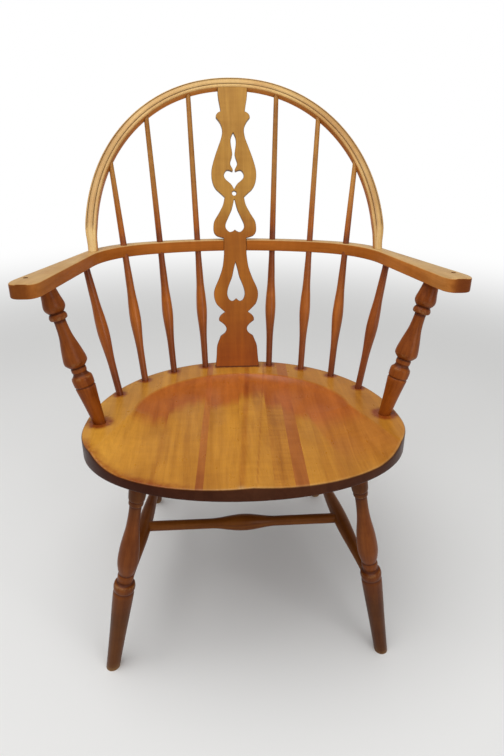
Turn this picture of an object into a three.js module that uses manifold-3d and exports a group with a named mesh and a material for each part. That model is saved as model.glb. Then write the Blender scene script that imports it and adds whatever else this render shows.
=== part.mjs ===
import * as THREE from 'three';
import { mergeVertices } from 'three/addons/utils/BufferGeometryUtils.js';
import Module from 'manifold-3d';

// A wooden captains chair: saddled seat of glued boards, four raked and turned legs tied by an
// H stretcher, a bent arm rail on turned posts and spindles, and a bent bow round a pierced splat.
// Millimetres. The chair is drawn on the plane of its seat: x to the side, y to the back, z up,
// with z = 0 on the flat rim of the seat. The whole is then tilted so that its feet stand level.

const wasm = await Module();
wasm.setup();

// Fits and cuts
const fit = 0.3;
const overrun = 20;
const turnedSides = 12;
const spindleSides = 10;
const curveSteps = 2;
const shortStretchKnots = 5;

// Stance
const seatHeight = 420.2;
const seatTilt = THREE.MathUtils.degToRad(4.016);

// Seat
const seatHalfWidth = 277;
const seatFrontReach = 182;
const seatRearReach = 293;
const seatWidestY = -50;
const seatThickness = 36;
const seatRound = 3;
const seatPower = 2.1;
const seatOutlinePoints = 48;
// The boards from left to right; they lie a little askew, their rear ends to the right
const boardShares = [0.2505, 0.1155, 0.0217, 0.0975, 0.092, 0.056, 0.0379, 0.0487, 0.2802];
const redBoards = [3, 7];
const boardSlant = THREE.MathUtils.degToRad(2.8);

// Saddle carved in the seat
const saddleHalfWidth = 196;
const saddleRearReach = 163;
const saddleCentreY = 10;
const saddlePower = 1.9;
const saddleFlareShare = 0.38;
const saddleFrontReach = 410;
const saddleDepth = 14;
const saddleSideDepth = 22;
const saddleSpreadPower = 3;
const pommelDepth = 9.5;
const saddleCrispPower = 8;
const saddleSoftPower = 5;
const saddleRingShares = [0.4, 0.66, 0.8, 0.88, 0.94, 1];
const saddleRays = 32;

// Arm rail
const railHeight = 259;
const railThickness = 22;
const railRound = 2;
const railBackDepth = 24;
const railInnerBackRadius = 470;
const railInnerCornerRadius = 154;
const railOuterCornerRadius = 145;
const railOverhang = 11.9;
const railArmWidth = 40.1;
const railInnerSplay = THREE.MathUtils.degToRad(10);
const railOuterSplay = THREE.MathUtils.degToRad(15.6);
const railFrontY = -97;
const handOuterRound = 38;
const handInnerRound = 22;
const handRoundShare = 0.65;
const railCurveSteps = 4;
const handHoleY = -53;
const handHoleOffset = 11;
const handHoleDiameter = 7.5;
const handHoleDepth = 8;

// Bow
const bowFootY = 165;
const bowLean = THREE.MathUtils.degToRad(34);
const bowSpread = 4;
const bowRise = 316.5;
const bowStraight = 40;
const bowPower = 2.1;
const bowWidth = 21;
const bowThickness = 17;
const bowFootDiameter = 18.5;
const bowFacetLength = 55;
const bowTenonDiameter = 14;
const bowTenonLength = 15.7;
const bowSteps = 16;
// Half of the bead moulding: across the width from the inner edge (-1) to the outer edge (1),
// and through the thickness from the back face (-1) to the front face (1).
const bowSectionShares = [
  [-1, 0.75], [-0.81, 1], [-0.49, 1], [-0.42, 0.87], [-0.35, 1], [0.58, 1], [0.65, 0.87],
  [0.72, 1], [0.83, 1], [1, 0.75], [1, -0.75], [0.81, -1], [-0.81, -1], [-1, -0.75],
];

// Splat
const splatFootY = 208;
const splatThickness = 11;
const splatTopProud = 6.7;
const splatRunOn = 12.4;
const splatHalfWidth = 47;
const splatStemShare = 0.505;
const splatRailShare = 0.4613;
const splatSeatDepth = 12;
const splatTenonHalfWidth = 22;
const splatTenonThickness = 6;
const splatTenonSetback = 4.5;
const splatTenonDepth = 8;
const splatEyeRadius = 4.6;
const splatEyeShare = 0.651;
// One side of the splat, from the seat up: height share, half-width share.
const splatEdgeShares = [
  [[0, 1], [0.04, 0.95], [0.082, 0.91], [0.106, 0.81], [0.122, 0.735]],
  [[0.122, 0.735], [0.135, 0.53], [0.15, 0.468], [0.165, 0.57], [0.18, 0.795]],
  [[0.18, 0.795], [0.191, 0.785], [0.202, 0.7], [0.213, 0.525]],
  [[0.213, 0.525], [0.228, 0.72], [0.245, 0.9], [0.272, 0.993], [0.3, 0.96], [0.345, 0.73],
    [0.385, 0.575], [0.43, splatStemShare]],
  [[0.43, splatStemShare], [0.489, splatStemShare]],
  [[0.489, splatStemShare], [0.4965, 0.8], [0.51, 0.93], [0.53, 0.95], [0.552, 0.895], [0.58, 0.69],
    [0.609, 0.508], [0.6365, 0.43]],
  [[0.6365, 0.43], [0.652, 0.63], [0.666, 0.81], [0.685, 0.93], [0.712, 0.985], [0.74, 0.96],
    [0.78, 0.82], [0.82, 0.64], [0.85, 0.51], [0.877, 0.478], [0.9, 0.58], [0.917, 0.74]],
  [[0.917, 0.74], [0.926, 0.72], [0.934, 0.64], [0.939, 0.527]],
  [[0.939, 0.527], [0.96, 0.565], [0.98, 0.61], [1, 0.635]],
];
// One side of each piercing, from its lowest point on the centre line to its highest.
const splatPiercingShares = [
  [[[0.265, 0], [0.257, 0.1], [0.255, 0.2], [0.262, 0.32], [0.28, 0.39], [0.3, 0.36],
    [0.32, 0.28], [0.345, 0.16], [0.375, 0.077], [0.3986, 0]]],
  [[[0.5196, 0], [0.513, 0.12], [0.512, 0.25], [0.524, 0.39], [0.54, 0.4], [0.566, 0.265],
    [0.595, 0.11], [0.6333, 0]]],
  [[[0.666, 0], [0.6835, 0.128], [0.7, 0.35], [0.712, 0.43], [0.724, 0.4], [0.733, 0.28],
    [0.728, 0.06]],
  [[0.728, 0.06], [0.736, 0.045], [0.756, 0.15], [0.778, 0.077], [0.7935, 0.053],
    [0.8214, 0.102], [0.835, 0.115], [0.8495, 0.087], [0.865, 0]]],
];

// Spindles: share of the seat's half width at the foot, share of the bow's half width at the top
const longSpindleShares = [[0.2491, 0.3236], [0.4874, 0.6255], [0.6913, 0.8727]];
const longSpindleInset = 20;
const shortSpindleShare = 0.8412;
const shortSpindleInset = 34;
const shortSpindleTopY = 127;
const spindleDiameter = 22;
const spindleFootDiameter = 12.8;
const spindleRailDiameter = 12.4;
const spindleBowDiameter = 9.6;
const spindleSeatDepth = 18;
const spindleBowDepth = 11;
const spindleBowSetback = 1.5;
const spindleBlindDepth = 12;
// Swelling of a spindle: share of the rail height, share of the greatest diameter.
const spindleSwellShares = [
  [0.12, 0.6], [0.23, 0.64], [0.31, 0.75], [0.4, 0.93], [0.47, 1], [0.56, 0.91], [0.656, 0.73],
  [0.753, 0.66],
];
const spindleRailShare = 0.87;

// Arm posts
const postX = 252;
const postY = -32;
const postTopY = -19;
const postDiameter = 39;
const postSeatDepth = 20;
const postTenonDiameter = 16;
const postTenonDepth = 14;
// Turning of a post: share of its height, share of its greatest diameter.
const postTurningShares = [
  [[0, 0.54], [0.14, 0.68], [0.281, 0.87]],
  [[0.281, 0.87], [0.291, 0.82], [0.3, 0.88]],
  [[0.3, 0.88], [0.342, 0.9], [0.36, 0.86]],
  [[0.36, 0.86], [0.38, 0.64], [0.395, 0.6]],
  [[0.395, 0.6], [0.403, 0.65], [0.424, 0.65], [0.432, 0.6]],
  [[0.432, 0.6], [0.45, 0.84], [0.479, 1], [0.56, 0.84], [0.66, 0.57], [0.745, 0.49],
    [0.77, 0.5]],
  [[0.77, 0.5], [0.777, 0.7], [0.793, 0.76], [0.81, 0.7], [0.82, 0.6]],
  [[0.82, 0.6], [0.845, 0.84], [0.873, 0.9], [0.93, 0.76], [1, 0.62]],
];

// Legs
const frontLegX = 173;
const frontLegY = -161;
const frontFootX = 249;
const frontFootY = -162;
const rearLegX = 132;
const rearLegY = 154;
const rearFootX = 205;
const rearFootY = 296;
const legDiameter = 37.5;
const legTenonDiameter = 22;
const legTenonDepth = 12;
// Turning of a leg: share of its height, share of its greatest diameter.
const legTurningShares = [
  [[0, 0.64], [0.2, 0.77], [0.38, 0.92], [0.436, 0.95]],
  [[0.436, 0.95], [0.449, 0.89], [0.458, 0.95]],
  [[0.458, 0.95], [0.472, 0.98], [0.487, 0.92]],
  [[0.487, 0.92], [0.494, 0.69], [0.502, 0.66]],
  [[0.502, 0.66], [0.512, 0.72], [0.53, 0.73], [0.54, 0.66]],
  [[0.54, 0.66], [0.572, 0.84], [0.615, 0.93], [0.685, 0.84], [0.77, 0.6], [0.832, 0.525],
    [0.884, 0.53]],
  [[0.884, 0.53], [0.889, 0.63], [0.904, 0.64], [0.909, 0.6]],
  [[0.909, 0.6], [0.916, 0.71], [0.96, 0.76], [1, 0.75]],
];

// Stretchers
const sideJointFrontShare = 0.4;
const sideJointRearShare = 0.43;
const centreJointShare = 0.44;
const sideEndDiameter = 16;
const sideBulgeDiameter = 29;
const sideBulgeHalfLength = 150;
const centreEndDiameter = 20;
const centreBulgeDiameter = 33;
const centreBulgeHalfLength = 68;
const stretcherLegDepth = 10;
const stretcherCentreDepth = 7;
const bulgeSteps = 10;

// Finishes
const seatRoughness = 0.32;
const woodRoughness = 0.38;
const woods = {
  golden: 0xb8752a,
  red: 0x86421c,
  amber: 0xa35c22,
  spindle: 0x8e4a1e,
  dark: 0x6f3c1a,
};

// Sizes that follow from the others
const sides = [['left', -1], ['right', 1]];
const floorSlope = Math.tan(seatTilt);
const railInnerHalfWidth = seatHalfWidth + railOverhang;
const railInnerSide = { halfWidth: railInnerHalfWidth, splay: railInnerSplay };
const railOuterSide = { halfWidth: railInnerHalfWidth + railArmWidth, splay: railOuterSplay };
const bowFootX = railMiddleX(bowFootY);
const bowHalfWidth = bowFootX + bowSpread;
const splatTop = bowPlace(0, bowUnderside(0), splatTopProud);
const splatLean = Math.atan2(splatTop.y - splatFootY, splatTop.z);
const splatLength = Math.hypot(splatTop.y - splatFootY, splatTop.z) - splatRunOn;
const railInnerBackY = splatFootY + Math.tan(splatLean) * (railHeight - railThickness / 2);
const rimCentreY = railInnerBackY - railInnerBackRadius;
const longSpindles = longSpindleShares.map(([footShare, topShare]) => ({
  x: footShare * seatHalfWidth,
  y: seatRearY(footShare) - longSpindleInset,
  topX: topShare * bowHalfWidth,
}));

function floorZ(y) {
  return floorSlope * y - seatHeight;
}

// The rear edge of the seat at a share of its half width
function seatRearY(share) {
  return seatWidestY + seatRearReach * (1 - share ** seatPower) ** (1 / seatPower);
}

function vec(x, y, z) {
  return new THREE.Vector3(x, y, z);
}

// A closed geometry as a solid that can be cut and joined
function solidOf(geometry) {
  const bare = geometry.clone();
  bare.deleteAttribute('normal');
  bare.deleteAttribute('uv');
  const merged = mergeVertices(bare);
  const corners = merged.index.array;
  const triVerts = [];
  for (let i = 0; i < corners.length; i += 3) {
    const [a, b, c] = corners.subarray(i, i + 3);
    if (a !== b && b !== c && c !== a) triVerts.push(a, b, c);
  }
  const mesh = new wasm.Mesh({
    numProp: 3,
    vertProperties: Float32Array.from(merged.attributes.position.array),
    triVerts: Uint32Array.from(triVerts),
  });
  return new wasm.Manifold(mesh);
}

function geometryOf(solid) {
  const mesh = solid.getMesh();
  const geometry = new THREE.BufferGeometry();
  geometry.setAttribute('position', new THREE.BufferAttribute(mesh.vertProperties, mesh.numProp));
  geometry.setIndex(new THREE.BufferAttribute(mesh.triVerts, 1));
  return geometry;
}

function piece(name, solid, wood, roughness = woodRoughness) {
  const material = new THREE.MeshStandardMaterial({ color: wood, roughness, metalness: 0 });
  const flat = geometryOf(solid).toNonIndexed();
  flat.computeVertexNormals();
  const mesh = new THREE.Mesh(flat, material);
  mesh.name = name;
  return mesh;
}

// A smooth run of points through each stretch of a table, with a corner where stretches meet
function runThrough(stretches, fewKnots = 2) {
  const points = [];
  for (const stretch of stretches) {
    const knots = stretch.map(([a, b]) => new THREE.Vector2(a, b));
    const smooth = knots.length > fewKnots
      ? new THREE.SplineCurve(knots).getPoints((knots.length - 1) * curveSteps)
      : knots;
    points.push(...(points.length ? smooth.slice(1) : smooth));
  }
  return points;
}

// A solid turned about the line from a to b; the profile holds [distance from a, radius]
function turned(a, b, profile, radialSides = turnedSides) {
  const axis = b.clone().sub(a);
  const points = profile.map(([along, radius]) => new THREE.Vector2(radius, along));
  points.unshift(new THREE.Vector2(0, points[0].y));
  points.push(new THREE.Vector2(0, points[points.length - 1].y));
  const geometry = new THREE.LatheGeometry(points, radialSides);
  const turn = new THREE.Quaternion().setFromUnitVectors(vec(0, 1, 0), axis.normalize());
  geometry.applyQuaternion(turn);
  geometry.translate(a.x, a.y, a.z);
  return solidOf(geometry);
}

// A plain round peg about the line from a towards b, between two distances from a
function peg(a, b, diameter, from, to, radialSides = turnedSides) {
  return turned(a, b, [[from, diameter / 2], [to, diameter / 2]], radialSides);
}

// A bore for such a peg, with the fit round it and under its end; its flats clear the peg
function bore(a, b, diameter, from, to, radialSides = turnedSides) {
  const across = diameter / Math.cos(Math.PI / radialSides) + 2 * fit;
  return peg(a, b, across, from - fit, to, radialSides);
}

function block(xMin, xMax, yMin, yMax, zMin, zMax) {
  const geometry = new THREE.BoxGeometry(xMax - xMin, yMax - yMin, zMax - zMin);
  geometry.translate((xMin + xMax) / 2, (yMin + yMax) / 2, (zMin + zMax) / 2);
  return solidOf(geometry);
}

// Everything above or below a level, as far as the chair reaches
function slab(zMin, zMax) {
  const reach = 2 * seatHeight;
  return block(-reach, reach, -reach, reach, zMin, zMax);
}

// A flat shape given its thickness and stood up in a leaning plane: the shape's x stays x,
// its y runs up the plane from the origin, and the thickness runs from back to front
function leaning(shape, originY, originZ, lean, back, front) {
  const geometry = new THREE.ExtrudeGeometry(shape, { depth: front - back, bevelEnabled: false });
  geometry.translate(0, 0, back);
  geometry.applyMatrix4(leanMatrix(originY, originZ, lean));
  return solidOf(geometry);
}

function leanMatrix(originY, originZ, lean) {
  const up = vec(0, Math.sin(lean), Math.cos(lean));
  const front = vec(0, -Math.cos(lean), Math.sin(lean));
  const matrix = new THREE.Matrix4().makeBasis(vec(1, 0, 0), up, front);
  return matrix.setPosition(0, originY, originZ);
}

function mirrored(points) {
  return points.map((p) => new THREE.Vector2(-p.x, p.y)).reverse();
}

function superellipse(angle, halfWidth, reach, power) {
  const c = Math.cos(angle);
  const s = Math.sin(angle);
  return new THREE.Vector2(
    halfWidth * Math.sign(c) * Math.abs(c) ** (2 / power),
    reach * Math.sign(s) * Math.abs(s) ** (2 / power),
  );
}

// Arm rail: each edge is a wide arc behind, a tighter corner arc and a splayed straight side.
// The corner arc is tangent to both, and this gives its centre and its sweep.
function railEdge(backRadius, cornerRadius, { halfWidth, splay }) {
  const sideDistance = halfWidth * Math.cos(splay) - rimCentreY * Math.sin(splay) - cornerRadius;
  const sweep = Math.asin(sideDistance / (backRadius - cornerRadius)) - splay;
  const x = (backRadius - cornerRadius) * Math.sin(sweep);
  const y = rimCentreY + (backRadius - cornerRadius) * Math.cos(sweep);
  return { backRadius, cornerRadius, halfWidth, splay, sweep, x, y };
}

const railInner = railEdge(railInnerBackRadius, railInnerCornerRadius, railInnerSide);
const railOuter = railEdge(railInnerBackRadius + railBackDepth, railOuterCornerRadius,
  railOuterSide);

function sideLineX(edge, y) {
  return edge.halfWidth - y * Math.tan(edge.splay);
}

// The middle of an arm, where the bow, the post and the short spindle stand
function railMiddleX(y) {
  return (sideLineX(railInnerSide, y) + sideLineX(railOuterSide, y)) / 2;
}

function addRightEdge(path, edge, forwards) {
  const back = Math.PI / 2;
  if (forwards) {
    path.absarc(0, rimCentreY, edge.backRadius, back, back - edge.sweep, true);
    path.absarc(edge.x, edge.y, edge.cornerRadius, back - edge.sweep, edge.splay, true);
  } else {
    path.absarc(edge.x, edge.y, edge.cornerRadius, edge.splay, back - edge.sweep, false);
    path.absarc(0, rimCentreY, edge.backRadius, back - edge.sweep, back, false);
  }
}

function railOutline() {
  const right = new THREE.Path();
  addRightEdge(right, railInner, true);
  const innerStart = railFrontY + handInnerRound;
  const innerFrontX = sideLineX(railInner, railFrontY);
  const outerStart = railFrontY + handOuterRound;
  const outerFrontX = sideLineX(railOuter, railFrontY);
  right.lineTo(sideLineX(railInner, innerStart), innerStart);
  right.quadraticCurveTo(innerFrontX, railFrontY, innerFrontX + handInnerRound * handRoundShare,
    railFrontY);
  right.lineTo(outerFrontX - handOuterRound * handRoundShare, railFrontY);
  right.quadraticCurveTo(outerFrontX, railFrontY, sideLineX(railOuter, outerStart), outerStart);
  addRightEdge(right, railOuter, false);
  const points = right.getPoints(railCurveSteps);
  return new THREE.Shape([...points, ...mirrored(points)]);
}

// Places that more than one piece uses
function bowPlace(x, up, out = 0) {
  return vec(x, up, out).applyMatrix4(leanMatrix(bowFootY, railHeight, bowLean));
}

function bowUnderside(x) {
  const halfWidth = bowHalfWidth - bowWidth / 2;
  const rise = bowRise - bowWidth / 2;
  return bowStraight + rise * (1 - (x / halfWidth) ** bowPower) ** (1 / bowPower);
}

function spindleLine(spindle, side) {
  const foot = vec(side * spindle.x, spindle.y, 0);
  const top = bowPlace(side * spindle.topX, bowUnderside(spindle.topX), -spindleBowSetback);
  return { foot, top, length: foot.distanceTo(top) };
}

function shortSpindleLine(side) {
  const footY = seatRearY(shortSpindleShare) - shortSpindleInset;
  const topX = railMiddleX(shortSpindleTopY);
  const foot = vec(side * shortSpindleShare * seatHalfWidth, footY, 0);
  const top = vec(side * topX, shortSpindleTopY, railHeight - railThickness);
  return { foot, top, length: foot.distanceTo(top) };
}

function postLine(side) {
  const foot = vec(side * postX, postY, 0);
  const top = vec(side * railMiddleX(postTopY), postTopY, railHeight - railThickness);
  return { foot, top, length: foot.distanceTo(top) };
}

function legLine(end, side) {
  const front = end === 'front';
  const footX = side * (front ? frontFootX : rearFootX);
  const footY = front ? frontFootY : rearFootY;
  const topX = side * (front ? frontLegX : rearLegX);
  const foot = vec(footX, footY, floorZ(footY));
  const top = vec(topX, front ? frontLegY : rearLegY, -seatThickness);
  return { foot, top, length: foot.distanceTo(top) };
}

function pointOn(line, share) {
  return line.foot.clone().lerp(line.top, share);
}

function sideStretcherLine(side) {
  const front = pointOn(legLine('front', side), sideJointFrontShare);
  const rear = pointOn(legLine('rear', side), sideJointRearShare);
  return { foot: front, top: rear, length: front.distanceTo(rear) };
}

function centreStretcherLine() {
  const left = pointOn(sideStretcherLine(-1), centreJointShare);
  const right = pointOn(sideStretcherLine(1), centreJointShare);
  return { foot: left, top: right, length: left.distanceTo(right) };
}

// Seat
function seatBlank() {
  const points = [];
  for (let i = 0; i < seatOutlinePoints; i += 1) {
    const angle = (2 * Math.PI * i) / seatOutlinePoints;
    const reach = angle < Math.PI ? seatRearReach : seatFrontReach;
    const p = superellipse(angle, seatHalfWidth, reach, seatPower);
    points.push(new THREE.Vector2(p.x, seatWidestY + p.y));
  }
  const geometry = new THREE.ExtrudeGeometry(new THREE.Shape(points), {
    depth: seatThickness - 2 * seatRound,
    bevelThickness: seatRound,
    bevelSize: seatRound,
    bevelOffset: -seatRound,
    bevelSegments: 2,
  });
  geometry.translate(0, 0, seatRound - seatThickness);
  return solidOf(geometry);
}

// How far the saddle reaches from its centre along a ray; 0 is the right side, a quarter turn
// is the back. In front it flares past the edge of the seat.
function saddleReach(angle) {
  const c = Math.abs(Math.cos(angle));
  const s = Math.sin(angle);
  if (s >= 0) {
    const sum = (c / saddleHalfWidth) ** saddlePower + (s / saddleRearReach) ** saddlePower;
    return sum ** (-1 / saddlePower);
  }
  const closing = c + saddleFlareShare * s;
  const flare = closing > 0 ? saddleHalfWidth / closing : saddleFrontReach;
  return Math.min(flare, saddleFrontReach);
}

function saddleZ(angle, share) {
  const across = Math.abs(Math.cos(angle));
  const behind = Math.sin(angle) > 0;
  const middle = behind ? saddleDepth : pommelDepth;
  const spread = 1 - (1 - across) ** saddleSpreadPower;
  const depthHere = middle + (saddleSideDepth - middle) * spread;
  const power = behind
    ? saddleSoftPower + (saddleCrispPower - saddleSoftPower) * (1 - across)
    : saddleSoftPower;
  const settled = saddleDepth + (depthHere - saddleDepth) * share;
  return -settled * (1 - share ** power);
}

// The wood that the saddle takes away: a lid above the seat over a hollow underside
function saddleCut() {
  const rings = saddleRingShares.map((share) => {
    const ring = [];
    for (let i = 0; i < saddleRays; i += 1) {
      const angle = (2 * Math.PI * i) / saddleRays;
      const reach = share * saddleReach(angle);
      ring.push(vec(reach * Math.cos(angle), saddleCentreY + reach * Math.sin(angle),
        saddleZ(angle, share)));
    }
    return ring;
  });
  const rim = rings[rings.length - 1].map((p) => vec(p.x, p.y, overrun));
  return loft([...rings, rim], vec(0, saddleCentreY, -saddleDepth), vec(0, saddleCentreY, overrun));
}

// A solid through closed rings of points, each end closed to a middle point
function loft(rings, firstMiddle, lastMiddle) {
  const count = rings[0].length;
  const points = [...rings.flat(), firstMiddle, lastMiddle];
  const first = points.length - 2;
  const last = points.length - 1;
  const index = [];
  for (let i = 0; i < count; i += 1) {
    const next = (i + 1) % count;
    index.push(first, next, i);
    for (let r = 0; r + 1 < rings.length; r += 1) {
      const low = r * count;
      const high = low + count;
      index.push(low + i, low + next, high + next, low + i, high + next, high + i);
    }
    const end = (rings.length - 1) * count;
    index.push(last, end + i, end + next);
  }
  const geometry = new THREE.BufferGeometry().setFromPoints(points);
  geometry.setIndex(index);
  return solidOf(geometry);
}

function seatSockets() {
  const cuts = [];
  for (const [, side] of sides) {
    for (const spindle of longSpindles) {
      const line = spindleLine(spindle, side);
      cuts.push(bore(line.foot, line.top, spindleFootDiameter, -spindleSeatDepth, overrun,
        spindleSides));
    }
    const short = shortSpindleLine(side);
    cuts.push(bore(short.foot, short.top, spindleFootDiameter, -spindleSeatDepth, overrun,
      spindleSides));
    const post = postLine(side);
    cuts.push(bore(post.foot, post.top, postFootDiameter(), -postSeatDepth, overrun));
    for (const end of ['front', 'rear']) {
      const leg = legLine(end, side);
      cuts.push(bore(leg.top, leg.foot, legTenonDiameter, -legTenonDepth, overrun));
    }
  }
  cuts.push(splatSlab(splatHalfWidth + fit, -splatSeatDepth - fit, overrun,
    -splatThickness - fit, fit));
  return cuts;
}

function cutAll(solid, cuts) {
  return cuts.reduce((left, cut) => left.subtract(cut), solid);
}

// The room between two seams, which are left open by the width of the fit
function boardSpace(from, to) {
  const reach = 2 * seatHeight;
  const geometry = new THREE.BoxGeometry(to - from - fit, reach, reach);
  geometry.translate((from + to) / 2, 0, 0);
  geometry.rotateZ(-boardSlant);
  return solidOf(geometry);
}

function seatBoards() {
  const seat = cutAll(seatBlank(), [saddleCut(), ...seatSockets()]);
  let edge = -seatHalfWidth;
  return boardShares.map((share, i) => {
    const number = i + 1;
    const from = i === 0 ? edge - overrun : edge;
    edge += 2 * seatHalfWidth * share;
    const to = number === boardShares.length ? edge + overrun : edge;
    const board = seat.intersect(boardSpace(from, to));
    const wood = redBoards.includes(number) ? woods.red : woods.golden;
    return piece(`seat_board_${number}`, board, wood, seatRoughness);
  });
}

// Splat
function splatSlab(halfWidth, low, high, back, front) {
  const shape = new THREE.Shape();
  shape.moveTo(-halfWidth, low);
  shape.lineTo(halfWidth, low);
  shape.lineTo(halfWidth, high);
  shape.lineTo(-halfWidth, high);
  return leaning(shape, splatFootY, 0, splatLean, back, front);
}

// The splat is drawn in two reaches, from the seat to the rail and from the rail to the bow, so
// that its stem stays at the rail
function splatHeight(share) {
  const railReach = (railHeight - railThickness / 2) / Math.cos(splatLean);
  return share < splatRailShare
    ? railReach * (share / splatRailShare)
    : THREE.MathUtils.mapLinear(share, splatRailShare, 1, railReach, splatLength);
}

function splatPoints(stretches) {
  return runThrough(stretches)
    .map((p) => new THREE.Vector2(p.y * splatHalfWidth, splatHeight(p.x)));
}

function splatShape() {
  const edge = splatPoints(splatEdgeShares);
  const top = edge[edge.length - 1];
  const foot = new THREE.Vector2(splatHalfWidth, -splatSeatDepth);
  const right = [foot, ...edge, new THREE.Vector2(top.x, top.y + overrun)];
  const shape = new THREE.Shape([...right, ...mirrored(right)]);
  for (const stretches of splatPiercingShares) {
    const half = splatPoints(stretches);
    shape.holes.push(new THREE.Path([...half, ...mirrored(half.slice(1, -1))]));
  }
  const eye = new THREE.Path();
  eye.absarc(0, splatHeight(splatEyeShare), splatEyeRadius, 0, 2 * Math.PI);
  shape.holes.push(eye);
  return shape;
}

// The room inside the bow, as far as its underside
function insideBow(clearance) {
  const halfWidth = bowHalfWidth - bowWidth / 2 - clearance;
  const rise = bowRise - bowWidth / 2 - clearance;
  const points = [new THREE.Vector2(halfWidth, -seatHeight)];
  for (let i = 0; i <= 2 * bowSteps; i += 1) {
    const p = superellipse((Math.PI * i) / (2 * bowSteps), halfWidth, rise, bowPower);
    points.push(new THREE.Vector2(p.x, bowStraight + p.y));
  }
  points.push(new THREE.Vector2(-halfWidth, -seatHeight));
  const reach = 2 * seatRearReach;
  return leaning(new THREE.Shape(points), bowFootY, railHeight, bowLean, -reach, reach);
}

function splatTenon(clearance) {
  const back = -splatTenonSetback - splatTenonThickness - clearance;
  return splatSlab(splatTenonHalfWidth + clearance, splatLength - overrun,
    splatLength + splatTenonDepth + clearance, back, -splatTenonSetback + clearance);
}

function splat() {
  const body = leaning(splatShape(), splatFootY, 0, splatLean, -splatThickness, 0);
  return body.intersect(insideBow(fit)).add(splatTenon(0));
}

// Arm rail
function armRail() {
  const geometry = new THREE.ExtrudeGeometry(railOutline(), {
    depth: railThickness - 2 * railRound,
    bevelThickness: railRound,
    bevelSize: railRound,
    bevelOffset: -railRound,
    bevelSegments: 1,
  });
  geometry.translate(0, 0, railHeight - railThickness + railRound);
  const underside = railHeight - railThickness;
  const stem = splatHalfWidth * splatStemShare;
  const cuts = [splatSlab(stem + fit, underside - overrun, railHeight + overrun,
    -splatThickness - fit, overrun)];
  for (const [, side] of sides) {
    for (const spindle of longSpindles) {
      const line = spindleLine(spindle, side);
      cuts.push(bore(line.foot, line.top, spindleRailDiameter, underside - overrun,
        railHeight + 2 * overrun, spindleSides));
    }
    const short = shortSpindleLine(side);
    cuts.push(bore(short.top, short.foot, spindleRailDiameter, -spindleBlindDepth, overrun,
      spindleSides));
    const post = postLine(side);
    cuts.push(bore(post.top, post.foot, postTenonDiameter, -postTenonDepth, overrun));
    const tenon = bowTenonLine(side);
    cuts.push(bore(tenon.foot, tenon.top, bowTenonDiameter, -bowTenonLength, overrun));
    const holeX = railMiddleX(handHoleY) + handHoleOffset;
    const hole = vec(side * holeX, handHoleY, railHeight);
    cuts.push(peg(hole, hole.clone().setZ(0), handHoleDiameter, -overrun, handHoleDepth,
      spindleSides));
  }
  return cutAll(solidOf(geometry), cuts);
}

// Bow
function bowTenonLine(side) {
  return { foot: bowPlace(side * bowFootX, 0), top: bowPlace(side * bowFootX, bowStraight) };
}

function bowTenon(side) {
  const line = bowTenonLine(side);
  return peg(line.foot, line.top, bowTenonDiameter, -bowTenonLength, overrun);
}

// One ring of the bow: beaded above the facet, and drawn in to a round foot below it
function bowRing(centre, outward) {
  const beaded = THREE.MathUtils.smoothstep(centre.y, 0, bowFacetLength);
  const footRadius = bowFootDiameter / 2;
  return bowSectionShares.map(([across, through]) => {
    const angle = Math.atan2(through, across);
    const u = THREE.MathUtils.lerp(footRadius * Math.cos(angle), across * bowWidth / 2, beaded);
    const w = THREE.MathUtils.lerp(footRadius * Math.sin(angle), through * bowThickness / 2,
      beaded);
    return bowPlace(centre.x + u * outward.x, centre.y + u * outward.y, w);
  });
}

function bowCentres() {
  const right = [new THREE.Vector2(bowFootX, -overrun), new THREE.Vector2(bowFootX, 0),
    new THREE.Vector2((bowFootX + bowHalfWidth) / 2, bowStraight / 2)];
  for (let i = 0; i < bowSteps; i += 1) {
    const p = superellipse((Math.PI / 2) * (i / bowSteps), bowHalfWidth, bowRise, bowPower);
    right.push(new THREE.Vector2(p.x, bowStraight + p.y));
  }
  return [...right, new THREE.Vector2(0, bowStraight + bowRise), ...mirrored(right)];
}

function backBow() {
  const centres = bowCentres();
  const last = centres.length - 1;
  const rings = centres.map((centre, i) => {
    const ahead = centres[Math.min(i + 1, last)];
    const behind = centres[Math.max(i - 1, 0)];
    const along = ahead.clone().sub(behind).normalize();
    return bowRing(centre, new THREE.Vector2(along.y, -along.x));
  });
  const ends = [centres[0], centres[last]].map((c) => bowPlace(c.x, c.y));
  const cuts = [slab(-overrun, railHeight + fit), splatTenon(fit)];
  for (const [, side] of sides) {
    for (const spindle of longSpindles) {
      const line = spindleLine(spindle, side);
      cuts.push(bore(line.top, line.foot, spindleBowDiameter, -spindleBowDepth, overrun,
        spindleSides));
    }
  }
  const body = cutAll(loft(rings, ends[0], ends[1]), cuts);
  return sides.reduce((bow, [, side]) => bow.add(bowTenon(side)), body);
}

// Spindles
function swelling(line) {
  const reach = line.length * (railHeight / line.top.z);
  return spindleSwellShares.map(([along, radius]) => [
    along * reach,
    (radius * spindleDiameter) / 2,
  ]);
}

function longSpindle(line) {
  const atRail = line.length * (railHeight / line.top.z);
  const profile = [
    [-spindleSeatDepth, spindleFootDiameter / 2],
    [fit, spindleFootDiameter / 2],
    ...swelling(line),
    [spindleRailShare * atRail, spindleRailDiameter / 2],
    [atRail, spindleRailDiameter / 2],
    [line.length, spindleBowDiameter / 2],
    [line.length + spindleBowDepth, spindleBowDiameter / 2],
  ];
  return turned(line.foot, line.top, profile, spindleSides);
}

function shortSpindle(line) {
  const atRail = line.length * (railHeight / line.top.z);
  const profile = [
    [-spindleSeatDepth, spindleFootDiameter / 2],
    [fit, spindleFootDiameter / 2],
    ...swelling(line),
    [spindleRailShare * atRail, spindleRailDiameter / 2],
    [line.length + spindleBlindDepth, spindleRailDiameter / 2],
  ];
  return turned(line.foot, line.top, profile, spindleSides);
}

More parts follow.
